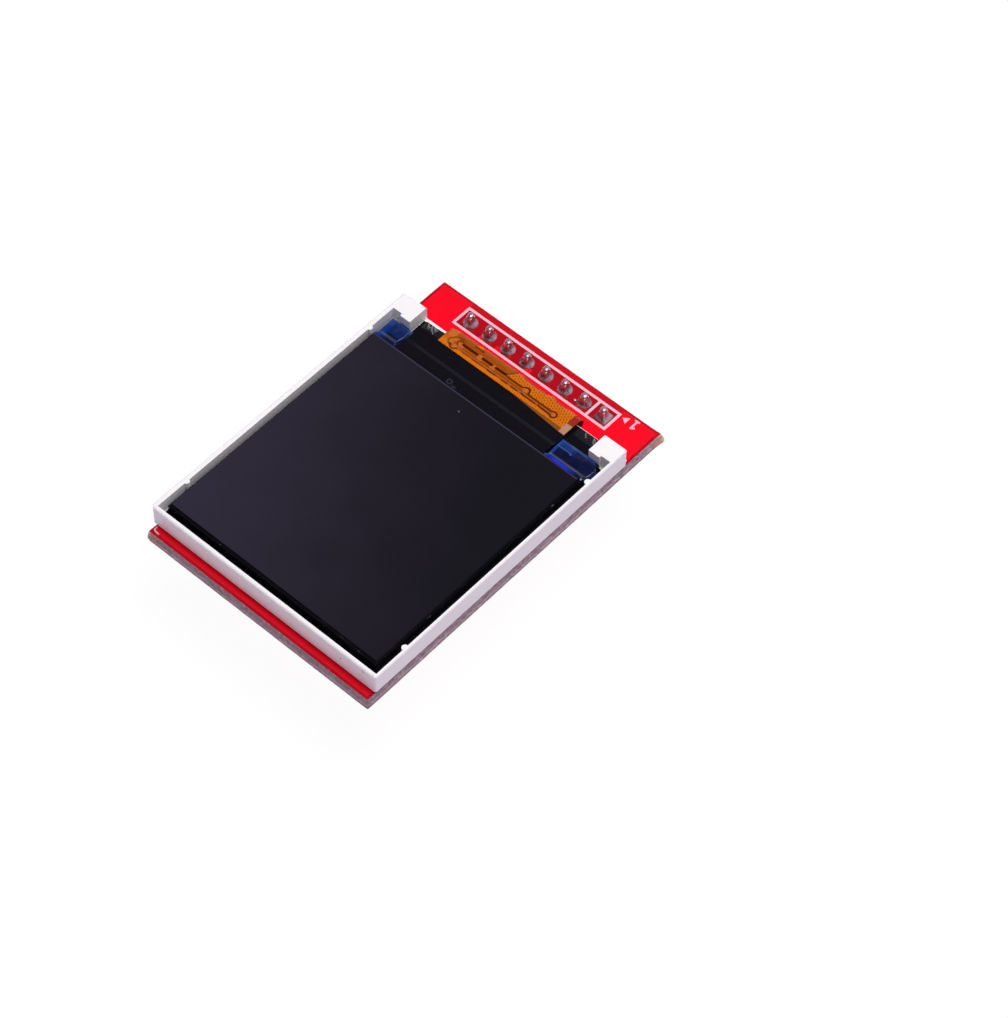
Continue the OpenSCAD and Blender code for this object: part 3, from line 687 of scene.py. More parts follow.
def amber_film(s):
    f = Finish("flex_base")
    _, y, _ = f.xyz()
    ledge = box_mm("flex_pad")[1].y
    cloud = f.grain(0.7, 3)
    base = f.mix(cloud, tuple(s.base), tuple(c * 0.6 for c in s.base))
    # Past the stiffener's far edge, over the fold, the film darkens to wine red: painted shade.
    base = f.mix(y.step(ledge - 0.25, ledge + 0.35), base, tuple(s.fold_shade))
    return f.surface(Base_Color=base, Roughness=0.25 + cloud * 0.1, Specular_IOR_Level=0.25)


def glue_finish(s):
    f = Finish("blue_glue")
    cloud = f.grain(0.9, 4)
    base = f.mix(cloud.step(0.35, 0.7) * 0.6, tuple(s.deep), tuple(c * 2.0 for c in s.deep))
    base = f.mix(f.attribute("clear"), base, tuple(s.clear))
    base = f.mix(f.attribute("lit"), base, tuple(s.lit))
    return f.surface(
        Base_Color=base,
        Roughness=0.09 + cloud * 0.06,
        Normal=f.bump(f.grain(0.6, 2) * 0.01),
    )


def header_plastic(s):
    f = Finish("header_plastic")
    cloud = f.grain(1.2, 3)
    fine = f.grain(0.08, 2)
    base = f.mix(cloud.step(0.4, 0.8), tuple(s.plastic), tuple(c * 1.8 for c in s.plastic))
    return f.surface(
        Base_Color=base, Roughness=0.42 + fine * 0.12, Normal=f.bump(fine * 0.004 + cloud * 0.005)
    )


def pin_plating(s):
    f = Finish("pin_metal")
    _, _, z = f.xyz()
    drawn = f.grain(0.1, 3, stretch=(0.5, 0.5, 8))
    tinned = z.step(DECK + 0.35, DECK + 0.75)
    base = f.mix(drawn.step(0.3, 0.8) * 0.5, tuple(s.pins), tuple(c * 0.72 for c in s.pins))
    base = f.mix(tinned, base, (0.86, 0.8, 0.83))
    return f.surface(
        Base_Color=base, Metallic=1.0, Roughness=0.2 + drawn * 0.14, Normal=f.bump(drawn * 0.003)
    )


def chip_finish(name, body, caps, edge):
    """Body of a soldered part, metal beyond an edge measured from the parts row."""
    f = Finish(name)
    low, high = box_mm("regulator")
    _, y, _ = f.xyz()
    away = abs(y - (low.y + high.y) / 2)
    metal = away.step(edge - 0.02, edge + 0.02)
    cloud = f.grain(0.3, 4)
    shade = f.mix(cloud, body, tuple(c * 0.75 for c in body))
    tin = f.mix(cloud, caps, tuple(c * 0.7 for c in caps))
    return f.surface(
        Base_Color=f.mix(metal, shade, tin),
        Metallic=metal,
        Roughness=0.5 - metal * 0.2 + cloud * 0.1,
        Normal=f.bump(f.grain(0.05, 2) * 0.004),
    )


# ---- Pieces --------------------------------------------------------------


class DISPLAY_OT_tray(bpy.types.Operator):
    """Moulded tray with its edges softened"""

    bl_idname = "object.display_tray"
    bl_label = "Tray"

    def execute(self, context):
        s = chosen(context, "tray")
        dress(["lcd_tray"], tray_plastic(s))
        soften(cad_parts["lcd_tray"], s.edge)
        return {"FINISHED"}


class DISPLAY_OT_panel(bpy.types.Operator):
    """Glass sandwich, its films and the black tapes"""

    bl_idname = "object.display_panel"
    bl_label = "Glass panel"

    def execute(self, context):
        s = chosen(context, "panel")
        dress(["front_polarizer", "rear_polarizer"], polarizer_finish(s))
        dress(["upper_glass", "lower_glass"], glass_finish(s))
        dress(["rim_tape", "ledge_tape"], tape_finish(s))
        dress(["driver_chip"], thin_film("silicon", (0.03, 0.03, 0.035), 0.15, 0.8))
        for name in ("front_polarizer", "upper_glass", "lower_glass"):
            soften(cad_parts[name], 0.00003)
        self.creases(s)
        return {"FINISHED"}

    def creases(self, s):
        """Crumpled edges of the rim tape beside both blocks."""
        f = Finish("creased_tape_painted_glints")
        # The fold mark lightens the crease ridges towards pale grey: painted glints, added to those the shiny
        # creases catch.
        fold = f.attribute("fold")
        black = tuple(c * 1.5 for c in s.tape)
        glinting_tape = f.surface(
            Base_Color=f.mix(fold.step(0.2, 0.9) * 0.5, black, (0.3, 0.28, 0.31)),
            Roughness=0.2,
            Specular_IOR_Level=0.6,
            Normal=f.bump(f.grain(0.2, 3) * 0.01),
        )
        seat = box_mm("rim_tape")[1].z
        for name, low, high, folds in CREASES:
            shape = bmesh.new()
            mark = shape.verts.layers.float.new("fold")
            xs = np.linspace(low[0], high[0], round((high[0] - low[0]) / 0.04))
            ys = np.linspace(low[1], high[1], round((high[1] - low[1]) / 0.04))
            rows = []
            for y in ys:
                row = []
                for x in xs:
                    border = min(x - low[0], high[0] - x, y - low[1], high[1] - y)
                    lift = 0.3 * abs(noise.noise(Vector((x * 2.2, y * 2.2, seat))))
                    for half, points in folds:
                        lift += float(1 - ease(near_path(np.array(x), np.array(y), points) / half))
                    lift *= float(ease(border / 0.25))
                    vert = shape.verts.new((x, y, seat + 0.004 + lift * s.crease / MM))
                    # This mark also drives the painted glints on the crease ridges.
                    vert[mark] = min(1.0, lift)
                    row.append(vert)
                rows.append(row)
            sheet_between(shape, rows, lambda at: (at.x, at.y, seat - 0.01))
            make_piece(name, shape, glinting_tape)


CREASES = [
    (
        "tape_crease_left", (-11.7, -4.35), (-9.2, -3.45),
        [
            (0.16, [(-11.3, -3.62), (-11.1, -3.95), (-10.85, -3.8), (-10.8, -3.6)]),
            (0.14, [(-10.75, -3.75), (-10.55, -4.1)]),
            (0.14, [(-10.5, -3.6), (-10.3, -3.85), (-10.2, -3.6)]),
            (0.12, [(-10.55, -3.95), (-10.25, -4.25)]),
        ],
    ),
    (
        "tape_crease_right", (8.55, -4.3), (11.3, -3.2),
        [
            (0.12, [(9.5, -3.3), (9.5, -3.45), (9.72, -3.68)]),
            (0.12, [(10.5, -3.3), (10.85, -3.5)]),
            (0.12, [(10.55, -3.35), (10.75, -3.75), (11.0, -3.95)]),
        ],
    ),
]


class DISPLAY_OT_backlight(bpy.types.Operator):
    """Light guide, films, LEDs and adhesive under the panel"""

    bl_idname = "object.display_backlight"
    bl_label = "Backlight"

    def execute(self, context):
        dress(["adhesive_sheet"], thin_film("adhesive", (0.42, 0.36, 0.34), 0.6, 0.7))
        dress(["reflector_sheet", "diffuser_film"], thin_film("white_film", (0.85, 0.86, 0.88), 0.4, 0.93))
        dress(["light_guide"], thin_film("clear_acrylic", (0.8, 0.84, 0.86), 0.08, 0.95))
        dress(
            ["lower_prism_film", "upper_prism_film"], thin_film("clear_film", (0.7, 0.74, 0.77), 0.2, 0.93)
        )
        leds = [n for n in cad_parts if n.startswith("backlight_led")]
        dress(leds, thin_film("led_body", (0.86, 0.82, 0.62), 0.35, 0.9))
        return {"FINISHED"}


def fold_wave(x):
    """How far the flex's fold stands out or in along its width, in millimetres."""
    places = [-9.0, -8.4, -6.0, -2.5, 0.3, 1.2, 2.5, 3.7, 4.3, 5.0, 5.6, 6.4, 7.5, 8.3]
    values = [-0.12, 0.0, 0.05, 0.1, 0.06, -0.06, -0.07, -0.04, 0.1, -0.04, -0.1, -0.05, -0.04, -0.05]
    return np.interp(x, places, values)


class FlexPath:
    """The way of the flex's outer face: flat, over the fold and back underneath."""

    def __init__(self, lift):
        low, high = box_mm("flex_tail")
        self.radius = (high.z - low.z) / 2
        self.centre = (high.y - self.radius, (high.z + low.z) / 2)
        self.lift = lift

    def at(self, x, y):
        """Point above the flat face at x, y; y runs on past the fold as length."""
        over = y - self.centre[0]
        mid = self.radius
        angle = np.clip(over / mid, 0.0, math.pi)
        under = np.clip(over - math.pi * mid, 0.0, None)
        flat = np.clip(over, None, 0.0)
        wave = fold_wave(x) * ease(angle / 0.9) * ease((math.pi - angle) / 0.9)
        reach = mid + self.lift + wave
        return (
            x,
            self.centre[0] + flat + reach * np.sin(angle) - under,
            self.centre[1] + reach * np.cos(angle),
        )


def near_path(px, py, points):
    """Distance of grid points from a polyline."""
    best = np.full(px.shape, 1e9)
    for (ax, ay), (bx, by) in zip(points, points[1:]):
        dx, dy = bx - ax, by - ay
        t = np.clip(((px - ax) * dx + (py - ay) * dy) / (dx * dx + dy * dy + 1e-12), 0, 1)
        best = np.minimum(best, np.hypot(px - ax - t * dx, py - ay - t * dy))
    return best


SLOTS = [
    [(-6.62, -3.61), (-4.76, -3.6)],
    [(-3.98, -3.61), (-2.8, -3.6)],
    [(-2.22, -3.6), (-0.98, -3.58)],
]
OUTLINE = [
    (-0.95, -3.6), (-0.5, -3.67), (1.25, -3.67), (1.5, -3.56), (1.72, -3.4), (1.95, -3.34), (2.15, -3.42),
    (2.27, -3.65), (2.33, -3.9), (2.5, -3.97), (5.45, -3.97), (5.65, -3.86), (5.9, -3.8), (6.13, -3.9),
    (6.25, -4.15), (6.15, -4.42), (5.9, -4.55), (5.68, -4.47), (5.5, -4.38), (4.2, -4.36), (3.95, -4.28),
]
ETCHED = [
    (0.92, 0.09, OUTLINE),
    (0.85, 0.07, [(-0.8, -4.38), (-0.1, -4.34)]),
    (0.85, 0.07, [(0.4, -4.3), (0.6, -4.37), (1.2, -4.34)]),
    (0.9, 0.07, [(1.72, -4.27), (1.95, -4.36), (3.6, -4.36)]),
    (0.85, 0.07, [(-2.75, -4.36), (-2.5, -4.42), (-1.7, -4.36)]),
    (0.6, 0.06, [(-4.8, -4.4), (-3.4, -4.4)]),
    (0.5, 0.06, [(-6.1, -4.4), (-5.3, -4.4)]),
    (0.3, 0.04, [(-6.3, -4.33), (-0.1, -4.33)]),
    (0.42, 0.05, [(-7.0, -4.05), (-6.2, -4.07), (2.3, -4.03)]),
    (0.3, 0.04, [(-6.5, -3.78), (-1.0, -3.76)]),
    (0.28, 0.03, [(-6.9, -3.3), (-1.3, -3.24)]),
    (0.28, 0.03, [(-6.6, -3.12), (-1.1, -3.06)]),
    (0.25, 0.03, [(-8.3, -2.86), (-5.6, -2.84)]),
    (0.55, 0.09, [(-6.9, -3.1), (-7.4, -3.15), (-7.9, -3.42), (-8.17, -3.8), (-8.2, -4.1), (-8.0, -4.38)]),
    (0.6, 0.08, [(-6.7, -3.35), (-7.15, -3.38), (-7.33, -3.6), (-7.25, -3.85), (-7.05, -4.02)]),
    (0.8, 0.1, [(-7.78, -4.42), (-7.55, -4.6), (-7.3, -4.72), (-7.05, -4.62), (-6.85, -4.42)]),
    (0.9, 0.1, [(-7.8, -4.38), (-7.7, -4.42)]),
    (0.8, 0.08, [(-5.5, -2.95), (-5.2, -2.9), (-4.85, -2.9), (-4.5, -2.95)]),
    (0.75, 0.1, [(-1.0, -3.52), (-0.55, -3.05), (-0.2, -2.5)]),
    (0.7, 0.16, [(0.5, -2.3), (0.8, -2.52), (3.5, -2.55), (3.9, -2.3)]),
    (0.7, 0.16, [(4.75, -2.35), (5.1, -2.6), (6.1, -2.58), (6.6, -2.4)]),
]
ROUND_PADS = [
    (1.85, -3.84, 0.22), (5.9, -4.18, 0.2), (-4.25, -3.76, 0.3), (-2.5, -3.78, 0.28), (-6.75, -3.88, 0.3),
    (-7.6, -3.5, 0.22), (-7.8, -4.02, 0.2), (-7.15, -4.28, 0.2), (-8.35, -3.3, 0.35),
]


def near_points(x, y, spots, soft):
    """1 inside discs, falling over the soft width."""
    inside = np.zeros(np.shape(x))
    for cx, cy, r in spots:
        inside = np.maximum(inside, ease((r + soft - np.hypot(x - cx, y - cy)) / soft))
    return inside


def flex_pattern(x, y):
    """How far the copper over the flex is etched away, dull and pinkish, each from 0 to 1."""
    etched = np.zeros(x.shape)
    for points in SLOTS:
        etched = np.maximum(etched, ease((0.19 - near_path(x, y, points)) / 0.07))
    for depth, half, points in ETCHED:
        etched = np.maximum(etched, depth * ease((half + 0.045 - near_path(x, y, points)) / 0.06))
    left = ease((-1.05 - (x - (y + 3.5) * 0.85)) / 0.12)
    bump = ease((0.42 - np.abs(x + 5.07) + (y + 2.9) * -0.3) / 0.08) * ease((y + 2.93) / 0.05)
    dull = left * ease((y + 3.75) / 0.1) * ease((x + 8.15) / 0.4) * (1 - bump)
    band = ease((y + 4.47) / 0.05) * ease((-3.7 - y) / 0.08) * ease((x + 8.1) / 0.3)
    band = band * np.where(y > -4.02, ease((2.25 - x) / 0.08), ease((6.0 - x) / 0.08))
    dull = np.maximum(dull * 0.85, band * 0.8)
    dull = np.maximum(dull, 0.45 * ease((-8.0 - x) / 0.3) * ease((y + 4.3) / 0.4))
    pink = near_points(x, y, ROUND_PADS, 0.1) * 0.85
    pink = np.maximum(pink, 0.6 * band * ease((0.05 - np.abs(y + 4.2)) / 0.04))
    open_copper = (1 - np.maximum(dull, pink)) * (1 - etched) * ease((x + 1.1) / 0.3)
    dashes = np.cos((x + y) * math.pi / 0.22) * np.cos((x - y) * math.pi / 0.5)
    strip = 0.5 + 0.5 * ease((y + 4.45) / 0.1)
    etched = np.maximum(etched, 0.55 * strip * open_copper * ease((dashes - 0.1) / 0.3))
    return etched, dull, pink


class DISPLAY_OT_flex(bpy.types.Operator):
    """Flex tail folded over the tray's end, with its etched pattern"""

    bl_idname = "object.display_flex"
    bl_label = "Flex tail"

    def execute(self, context):
        s = chosen(context, "flex")
        self.cover(s)
        self.base(s)
        dress(["flex_pad"], thin_film("flex_pad", tuple(s.pad), 0.5, 0.8))
        dress(["led_strip"], amber_film(s))
        return {"FINISHED"}

    def cover(self, s):
        low, high = box_mm("flex_cover")
        cell = s.cell / MM
        path = FlexPath(high.z - box_mm("flex_tail")[1].z)
        reach = path.centre[0] + path.radius * math.radians(110)
        across = np.linspace(low.x, high.x, round((high.x - low.x) / cell) + 1)
        along = np.linspace(low.y, reach, round((reach - low.y) / cell) + 1)
        grid_x, grid_y = np.meshgrid(across, along)
        fields = dict(zip(("etched", "dull", "pink"), flex_pattern(grid_x, grid_y)))
        border = np.minimum(np.minimum(grid_x - low.x, high.x - grid_x), grid_y - low.y)
        path.lift -= fields["etched"] * s.relief / MM + 0.02 * (1 - ease(border / 0.06))
        top = np.stack(np.broadcast_arrays(*path.at(grid_x, grid_y)), axis=-1)
        path.lift = 0.002
        under = np.stack(np.broadcast_arrays(*path.at(grid_x, grid_y)), axis=-1)
        shape = bmesh.new()
        marks = {name: shape.verts.layers.float.new(name) for name in fields}
        rows = []
        for j in range(len(along)):
            row = []
            for k in range(len(across)):
                vert = shape.verts.new(top[j, k])
                for name, values in fields.items():
                    vert[marks[name]] = values[j, k]
                row.append(vert)
            rows.append(row)
        grid_faces(shape, rows)
        last, end = len(across) - 1, len(along) - 1
        edge = [(0, k) for k in range(last)] + [(j, last) for j in range(end)]
        edge += [(end, k) for k in range(last, 0, -1)] + [(j, 0) for j in range(end, 0, -1)]
        lower = {jk: shape.verts.new(under[jk]) for jk in edge}
        grid_faces(shape, [[rows[j][k] for j, k in edge], list(lower.values())], closed_across=True)
        for j in range(end):
            ring = [lower[(j, 0)]]
            ring += [lower[(j, k)] for k in range(1, last)] if j == 0 else []
            ring += [lower[(j, last)], lower[(j + 1, last)]]
            ring += [lower[(j + 1, k)] for k in range(last - 1, 0, -1)] if j + 1 == end else []
            ring.append(lower[(j + 1, 0)])
            shape.faces.new(ring)
        make_piece("flex_cover_film", shape, flex_cover_finish(s), ["flex_cover"], 60)

    def base(self, s):
        low, high = box_mm("flex_tail")
        thick = high.z - box_mm("lower_glass")[1].z
        outer, inner = FlexPath(0.0), FlexPath(-thick)
        turn = math.pi * outer.radius
        start = box_mm("lower_glass")[1].y - 1.0
        stops = [start, outer.centre[0] - 0.4]
        stops += [outer.centre[0] + turn * k / 32 for k in range(33)]
        stops += [outer.centre[0] + turn + (outer.centre[0] - low.y)]
        across = np.linspace(low.x, high.x, 120)
        shape = bmesh.new()
        rows = []
        for y in stops:
            ring = [shape.verts.new(outer.at(x, y)) for x in across]
            ring += [shape.verts.new(inner.at(x, y)) for x in reversed(across)]
            rows.append(ring)
        grid_faces(shape, rows, closed_across=True)
        shape.faces.new(rows[0])
        shape.faces.new(rows[-1])
        make_piece("flex_base_film", shape, amber_film(s), ["flex_tail"])


class DISPLAY_OT_glue(bpy.types.Operator):
    """Blue glue on both ends of the ledge"""

    bl_idname = "object.display_glue"
    bl_label = "Ledge glue"

    def execute(self, context):
        finish = glue_finish(chosen(context, "glue"))
        for side in ("left", "right"):
            self.bead(side, finish)
        return {"FINISHED"}

    def bead(self, side, finish):
        low, high = box_mm(f"glue_{side}")
        glass_top = box_mm("upper_glass")[1].z
        ledge = box_mm("lower_glass")[1].z
        edge = box_mm("upper_glass")[1].y
        right = side == "right"
        shape = bmesh.new()
        clear, lit = (shape.verts.layers.float.new(name) for name in ("clear", "lit"))
        count = 80
        rows = []
        for j in range(count + 1):
            v = j / count
            y = low.y + (high.y - low.y) * v
            inner, outer = self.sides(right, v, low.x, high.x)
            row = []
            for k in range(count + 1):
                x = inner + (outer - inner) * k / count
                rim = min(abs(x - inner), abs(outer - x))
                shoulder = float(ease(min(rim / 0.3, (high.y - y) / 0.35, 1.0)))
                fall = float(ease((y - edge) / 0.5))
                seat = glass_top if y < edge else ledge
                top = glass_top + 0.05 - fall * (glass_top - ledge - 0.22)
                top += 0.1 * math.sin(math.pi * min(1, max(0, (y - edge) / (high.y - edge))))
                z = seat + (top - seat) * (0.12 + 0.88 * shoulder)
                z += 0.025 * noise.noise(Vector((x * 1.4, y * 1.4, 3.0)))
                if right:
                    z += 0.05 * float(ease(1 - abs(y + 6.88) / 0.14) * ease((10.7 - x) / 0.4))
                vert = shape.verts.new((x, y, max(z, seat + 0.01)))
                vert[clear], vert[lit] = self.tints(right, x, y, shoulder, low, high)
                row.append(vert)
            rows.append(row)
        sheet_between(shape, rows, lambda at: (at.x, at.y, glass_top if at.y < edge - 1e-6 else ledge))
        make_piece(f"glue_bead_{side}", shape, finish, [f"glue_{side}"], 80)

    def sides(self, right, v, low, high):
        """Left and right border of a bead at a share of its depth."""
        if not right:
            return low, high - 0.08 - 0.07 * math.sin(v * 9)
        pull = float(ease((v - 0.55) / 0.45)) * 0.95 + float(1 - ease(v / 0.4)) * 0.45
        return low, high - pull

    def tints(self, right, x, y, shoulder, low, high):
        """How clear and how lit the glue looks."""
        back = float(ease((y - (high.y - 0.55)) / 0.3))
        clear = max(back * 0.75, (1 - shoulder) * 0.35)
        front = float(ease((low.y + 0.42 - y) / 0.2))
        if right:
            upper = float(ease((y + 6.95) / 0.1) * ease((11.2 - x) / 1.0))
            stripe = float(ease((low.x + 0.6 - x) / 0.12))
            clear = max(clear, upper * 0.5, stripe * 0.7)
            lit = front * float(ease((x - low.x - 0.1) / 1.2) * ease((12.9 - x) / 2.2))
        else:
            pool = float(ease((-12.9 - x) / 0.9))
            clear = max(clear, pool * 0.6, 0.22 * float(ease((y + 7.65) / 0.15)))
            lit = front * float(ease((-13.9 - x) / 0.25)) * 0.8
        return clear * (1 - lit), lit


EDGE = [
    (0.0, -0.05, 0.3), (0.05, 0.0, 0.8), (0.2, 0.04, 1.2), (0.36, 0.08, 1.5), (0.46, 0.14, 2.6),
    (0.54, 0.15, 2.6), (0.64, 0.08, 1.5), (0.8, 0.03, 1.2), (0.95, 0.0, 0.8), (1.0, -0.03, 0.3),
]


class DISPLAY_OT_board(bpy.types.Operator):
    """Circuit board with snapped edges, and its print"""

    bl_idname = "object.display_board"
    bl_label = "Circuit board"

    def execute(self, context):
        s = chosen(context, "board")
        self.laminate(s)
        ink = ink_finish(s)
        dress(["pin_box_print"], ink)
        self.marks(ink)
        return {"FINISHED"}

    def laminate(self, s):
        low, high = box_mm("board")
        web, rough = s.web / MM, s.rough / MM
        path = rounded_path((low.x + web, high.x - web), (low.y + web, high.y - web), 0.2, 0.13)
        torn = [(Vector((high.x, high.y)), 0.34), (Vector((low.x, low.y)), 0.12)]
        shape = bmesh.new()
        rows = []
        for depth, reach, wild in EDGE:
            z = high.z - depth * (high.z - low.z)
            row = []
            for spot, out in path:
                at = Vector((spot.x, spot.y, z * 2.5))
                jag = noise.noise(at * 0.9) * 0.7 + noise.noise(at * 3.7)
                away = reach + rough * wild * jag
                for corner, grow in torn:
                    away += grow * min(1.0, wild / 2.6) * math.exp(-(((spot - corner).length / 0.8) ** 2))
                row.append(shape.verts.new((*(spot + out * away), z)))
            rows.append(row)
        grid_faces(shape, rows, closed_across=True)
        bores = [self.bore(shape, pin_x(i), low.z, high.z) for i in range(1, PINS + 1)]
        for ring, level in ((rows[0], 1), (rows[-1], 0)):
            rings = [ring] + [bore[level] for bore in bores]
            edges = [shape.edges.get((a, b)) for r in rings for a, b in zip(r, r[1:] + r[:1])]
            bmesh.ops.triangle_fill(shape, use_beauty=True, edges=edges, normal=(0, 0, 1))
        make_piece("board_laminate", shape, mask_finish(s), ["board"])

    def bore(self, shape, x, low, high):
        """Wall of a pin's hole."""
        rings = []
        for z in (low, high):
            turns = [2 * math.pi * k / 24 for k in range(24)]
            rings.append([shape.verts.new((x + 0.5 * math.cos(a), 0.5 * math.sin(a), z)) for a in turns])
        grid_faces(shape, rings, closed_across=True)
        return rings

    def marks(self, ink):
        """Numeral and arrow at pin one, read from behind, and a corner tick."""
        low, high = box_mm("pin_box_print")
        shape = bmesh.new()
        z = (low.z, high.z)
        x, y = high.x + 1.75, 1.2
        stroke(shape, [(x, y - 0.55), (x, y + 0.6)], 0.22, *z)
        stroke(shape, [(x - 0.3, y + 0.6), (x + 0.3, y + 0.6)], 0.18, z[0], z[1] + 0.002)
        stroke(shape, [(x, y - 0.52), (x + 0.34, y - 0.22)], 0.18, z[0], z[1] + 0.001)
        tip = [(high.x + 0.3, y), (high.x + 0.95, y + 0.42), (high.x + 0.95, y - 0.42)]
        rings = [[shape.verts.new((*p, h)) for p in tip] for h in z]
        grid_faces(shape, rings, closed_across=True)
        for ring in rings:
            shape.faces.new(ring)
        stroke(shape, [(-13.5, -39.96), (-14.0, -39.92), (-14.22, -39.8), (-14.24, -39.35)], 0.15, *z)
        make_piece("pin_one_mark", shape, ink)


class DISPLAY_OT_solder(bpy.types.Operator):
    """Solder cones round the pins' tips, and the tabs under the flex"""

    bl_idname = "object.display_solder"
    bl_label = "Solder joints"

    def execute(self, context):
        s = chosen(context, "solder")
        finish = solder_finish(s)
        dice = random.Random(s.seed)
        for i in range(1, PINS + 1):
            self.joint(i, s, finish, dice)
        self.splash(finish)
        dress(["flex_solder"], finish)
        return {"FINISHED"}

    def joint(self, i, s, finish, dice):
        turns, steps = 64, 18
        spot = pin_x(i)
        hole = box_mm(f"solder_joint_{i}")[0].z
        half = (box_mm("header_pin_1")[1].x - box_mm("header_pin_1")[0].x) / 2
        height = s.height / MM * dice.uniform(0.9, 1.08)
        radius = s.pad / MM
        lobes = [dice.uniform(0.01, 0.05) for _ in range(3)]
        phase = [dice.uniform(0, 2 * math.pi) for _ in range(3)]
        squared = i == 1
        shape = bmesh.new()
        rows = []
        for k in range(-3, steps + 1):
            row = []
            for j in range(turns):
                a = 2 * math.pi * j / turns
                square = 1 / max(abs(math.cos(a)), abs(math.sin(a)))
                outer = radius * (min(square, 1.3) * 0.97 if squared else 1.0)
                core = half * 1.05 * min(square, 1.12)
                if k < 0:
                    r, z = ((0.49, hole), (0.49, DECK), (outer, DECK))[k + 3]
                else:
                    u = k / steps
                    grow = 1 + sum(
                        w * math.sin((n + 2) * a + p) for n, (w, p) in enumerate(zip(lobes, phase))
                    )
                    r = core + (outer * 0.98 - core) * (1 - u) ** 1.2
                    share = (r - core) / (outer - core)
                    sag = (math.exp(-2.6 * share) - math.exp(-2.6)) / (1 - math.exp(-2.6))
                    z = DECK + 0.03 + height * sag * grow + 0.07 * math.sin(math.pi * u ** 0.6)
                    if squared:
                        z += 0.12 * math.sin(2 * a) ** 8 * math.sin(math.pi * u)
                    for n, angle, rise in RIDGES:
                        if n == i:
                            turn = (a - math.radians(angle) + math.pi) % (2 * math.pi) - math.pi
                            z += rise * math.exp(-((turn / 0.22) ** 2)) * math.sin(math.pi * share)
                row.append(shape.verts.new((spot + r * math.cos(a), r * math.sin(a), z)))
            rows.append(row)
        tip = box_mm(f"header_pin_{i}")[1].z
        for reach, rise in CAP:
            row = []
            for j in range(turns):
                a = 2 * math.pi * j / turns
                r = half * reach * min(1 / max(abs(math.cos(a)), abs(math.sin(a))), 1.12)
                row.append(shape.verts.new((spot + r * math.cos(a), r * math.sin(a), tip + rise)))
            rows.append(row)
        grid_faces(shape, rows, closed_across=True)
        shape.faces.new(rows[0])
        shape.faces.new(rows[-1])
        make_piece(f"solder_cone_{i}", shape, finish, [f"solder_joint_{i}"], 50)

    def splash(self, finish):
        """A stray drop beside the second joint."""
        shape = bmesh.new()
        blob(shape, (pin_x(2) - 0.93, -0.32, DECK), 0.17, 0.08)
        make_piece("solder_drop", shape, finish)


# Rings of the cap over a pin's tip: share of the pin's half width, height over the tip
CAP = ((1.0, -0.3), (1.02, -0.06), (0.96, 0.0), (0.8, 0.035), (0.55, 0.065), (0.25, 0.08))
RIDGES = [(2, -18, 0.34), (5, 150, 0.1), (8, 70, 0.08)]


class DISPLAY_OT_header(bpy.types.Operator):
    """Pin header under the board"""

    bl_idname = "object.display_header"
    bl_label = "Pin header"

    def execute(self, context):
        s = chosen(context, "header")
        dress(["header_body"], header_plastic(s))
        soften(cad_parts["header_body"], s.edge)
        pins = [f"header_pin_{i}" for i in range(1, PINS + 1)]
        dress(pins, pin_plating(s))
        for name in pins:
            soften(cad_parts[name], 0.00004)
        return {"FINISHED"}


class DISPLAY_OT_back(bpy.types.Operator):
    """Capacitors, resistors and regulator on the board's back"""

    bl_idname = "object.display_back"
    bl_label = "Back of the board"

    def execute(self, context):
        s = chosen(context, "back")
        tin = (0.72, 0.7, 0.7)
        bare = 0.6 * (box_mm("capacitor_1")[1].y - box_mm("capacitor_1")[0].y) / 2
        for part, ceramic in (("capacitor", s.ceramic), ("resistor", s.resistor)):
            finish = chip_finish(f"{part}_ceramic", tuple(ceramic), tin, bare)
            dress([f"{part}_1", f"{part}_2"], finish)
        dress(["regulator"], chip_finish("chip_plastic", (0.014, 0.014, 0.015), tin, 0.66))
        for name in ("capacitor_1", "capacitor_2", "resistor_1", "resistor_2"):
            soften(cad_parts[name], 0.00003)
        return {"FINISHED"}


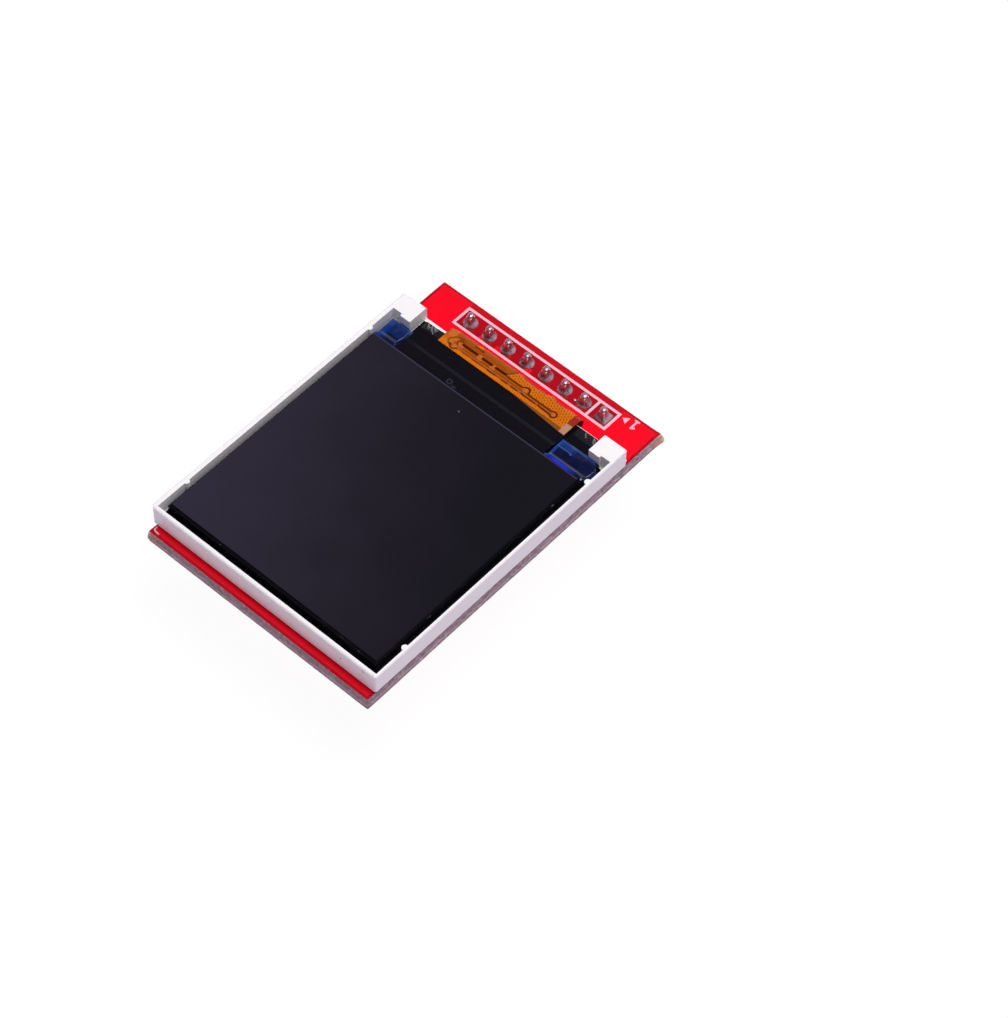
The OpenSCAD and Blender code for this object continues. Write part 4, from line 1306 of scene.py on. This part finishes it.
class DISPLAY_OT_stage(bpy.types.Operator):
    """Floor, lights and camera"""

    bl_idname = "object.display_stage"
    bl_label = "Stage"

    def execute(self, context):
        s = chosen(context, "stage")
        self.floor(s)
        self.lights(s)
        self.world(s)
        self.camera(context)
        context.scene.view_settings.view_transform = "Standard"
        return {"FINISHED"}

    def floor(self, s):
        f = Finish("floor")
        speck = f.grain(40.0, 2)
        base = f.mix(speck, tuple(s.floor), tuple(c * 0.97 for c in s.floor))
        paper = f.add("ShaderNodeBsdfPrincipled", None, {"Base Color": base, "Roughness": 0.9})
        glow = f.add("ShaderNodeEmission", None, {"Color": (1, 1, 1), "Strength": 1.04})
        under = Value(f, f.add("ShaderNodeNewGeometry").socket.node.outputs["Backfacing"])
        clear = f.add("ShaderNodeBsdfTransparent")
        lit = f.add("ShaderNodeMixShader", None, {0: f.seen() * 0.92, 1: paper, 2: glow})
        sheet = f.add("ShaderNodeMixShader", None, {0: under, 1: lit, 2: clear})
        f.add("ShaderNodeOutputMaterial", None, {"Surface": sheet})
        shape = bmesh.new()
        z = CAD_BOX[0].z
        corners = [shape.verts.new((x, y, z)) for x, y in ((-2, -2), (2, -2), (2, 2), (-2, 2))]
        shape.faces.new(corners)
        mesh = bpy.data.meshes.new("floor")
        shape.to_mesh(mesh)
        shape.free()
        mesh.materials.append(f.material)
        floor = bpy.data.objects.new("floor", mesh)
        bpy.context.scene.collection.objects.link(floor)

    def lights(self, s):
        lamp = bpy.data.lights.new("key", "AREA")
        lamp.shape = "SQUARE"
        lamp.size = 0.45
        lamp.energy = s.key
        light = bpy.data.objects.new("key", lamp)
        spot = Vector((0.08, 0.12, 0.7))
        light.location = spot
        light.rotation_mode = "QUATERNION"
        light.rotation_quaternion = (Vector((0, -0.02, 0)) - spot).to_track_quat("-Z", "Y")
        bpy.context.scene.collection.objects.link(light)

    def world(self, s):
        """A sky that is white at the horizon and dim overhead, and a plain even fill."""
        world = bpy.data.worlds.new("studio")
        bpy.context.scene.world = world
        f = Finish("studio", world)
        outlook = f.add("ShaderNodeTexCoord")
        height = f.add("ShaderNodeSeparateXYZ", None, {"Vector": outlook})
        height = Value(f, height.socket.node.outputs[2])
        sky = s.zenith + height.step(0.8, 0.42) * (1 - s.zenith)
        back = f.add("ShaderNodeBackground", None, {"Color": (1, 1, 1), "Strength": sky})
        fill = f.add("ShaderNodeBackground", None, {"Color": (1.0, 0.93, 0.99), "Strength": s.fill})
        both = f.add("ShaderNodeMixShader", None, {0: f.seen(), 1: fill, 2: back})
        f.add("ShaderNodeOutputWorld", None, {"Surface": both})

    def camera(self, context):
        lens = bpy.data.cameras.new("camera")
        lens.lens = 124.5
        lens.sensor_width = 36.0
        lens.clip_start = 0.01
        camera = bpy.data.objects.new("camera", lens)
        spot = Vector((0.140517, -0.16874, 0.28172))
        aim = Vector((0.00916, -0.01513, 0.00414))
        roll = Quaternion((0, 0, 1), math.radians(1.515))
        camera.location = spot
        camera.rotation_mode = "QUATERNION"
        camera.rotation_quaternion = (aim - spot).to_track_quat("-Z", "Y") @ roll
        bpy.context.scene.collection.objects.link(camera)
        context.scene.camera = camera


OPERATORS = [
    DISPLAY_OT_tray,
    DISPLAY_OT_panel,
    DISPLAY_OT_backlight,
    DISPLAY_OT_flex,
    DISPLAY_OT_glue,
    DISPLAY_OT_board,
    DISPLAY_OT_solder,
    DISPLAY_OT_header,
    DISPLAY_OT_back,
    DISPLAY_OT_stage,
]


class DISPLAY_PT_panel(bpy.types.Panel):
    """Sizes, colours and build steps"""

    bl_label = "Display module"
    bl_idname = "DISPLAY_PT_panel"
    bl_space_type = "VIEW_3D"
    bl_region_type = "UI"
    bl_category = "Display"

    def draw(self, context):
        for group in SETTINGS:
            box = self.layout.box()
            box.label(text=group.capitalize())
            settings = chosen(context, group)
            for name in settings.__annotations__:
                box.prop(settings, name)
        for operator in OPERATORS:
            self.layout.operator(operator.bl_idname)


def register():
    for group, settings in SETTINGS.items():
        bpy.utils.register_class(settings)
        setattr(bpy.types.Scene, f"display_{group}", PointerProperty(type=settings))
    for operator in OPERATORS:
        bpy.utils.register_class(operator)
    bpy.utils.register_class(DISPLAY_PT_panel)


def unregister():
    bpy.utils.unregister_class(DISPLAY_PT_panel)
    for operator in reversed(OPERATORS):
        bpy.utils.unregister_class(operator)
    for group, settings in SETTINGS.items():
        delattr(bpy.types.Scene, f"display_{group}")
        bpy.utils.unregister_class(settings)


def main():
    register()
    bpy.ops.object.display_tray()
    bpy.ops.object.display_panel()
    bpy.ops.object.display_backlight()
    bpy.ops.object.display_flex()
    bpy.ops.object.display_glue()
    bpy.ops.object.display_board()
    bpy.ops.object.display_solder()
    bpy.ops.object.display_header()
    bpy.ops.object.display_back()
    bpy.ops.object.display_stage()


if __name__ == "__main__":
    main()
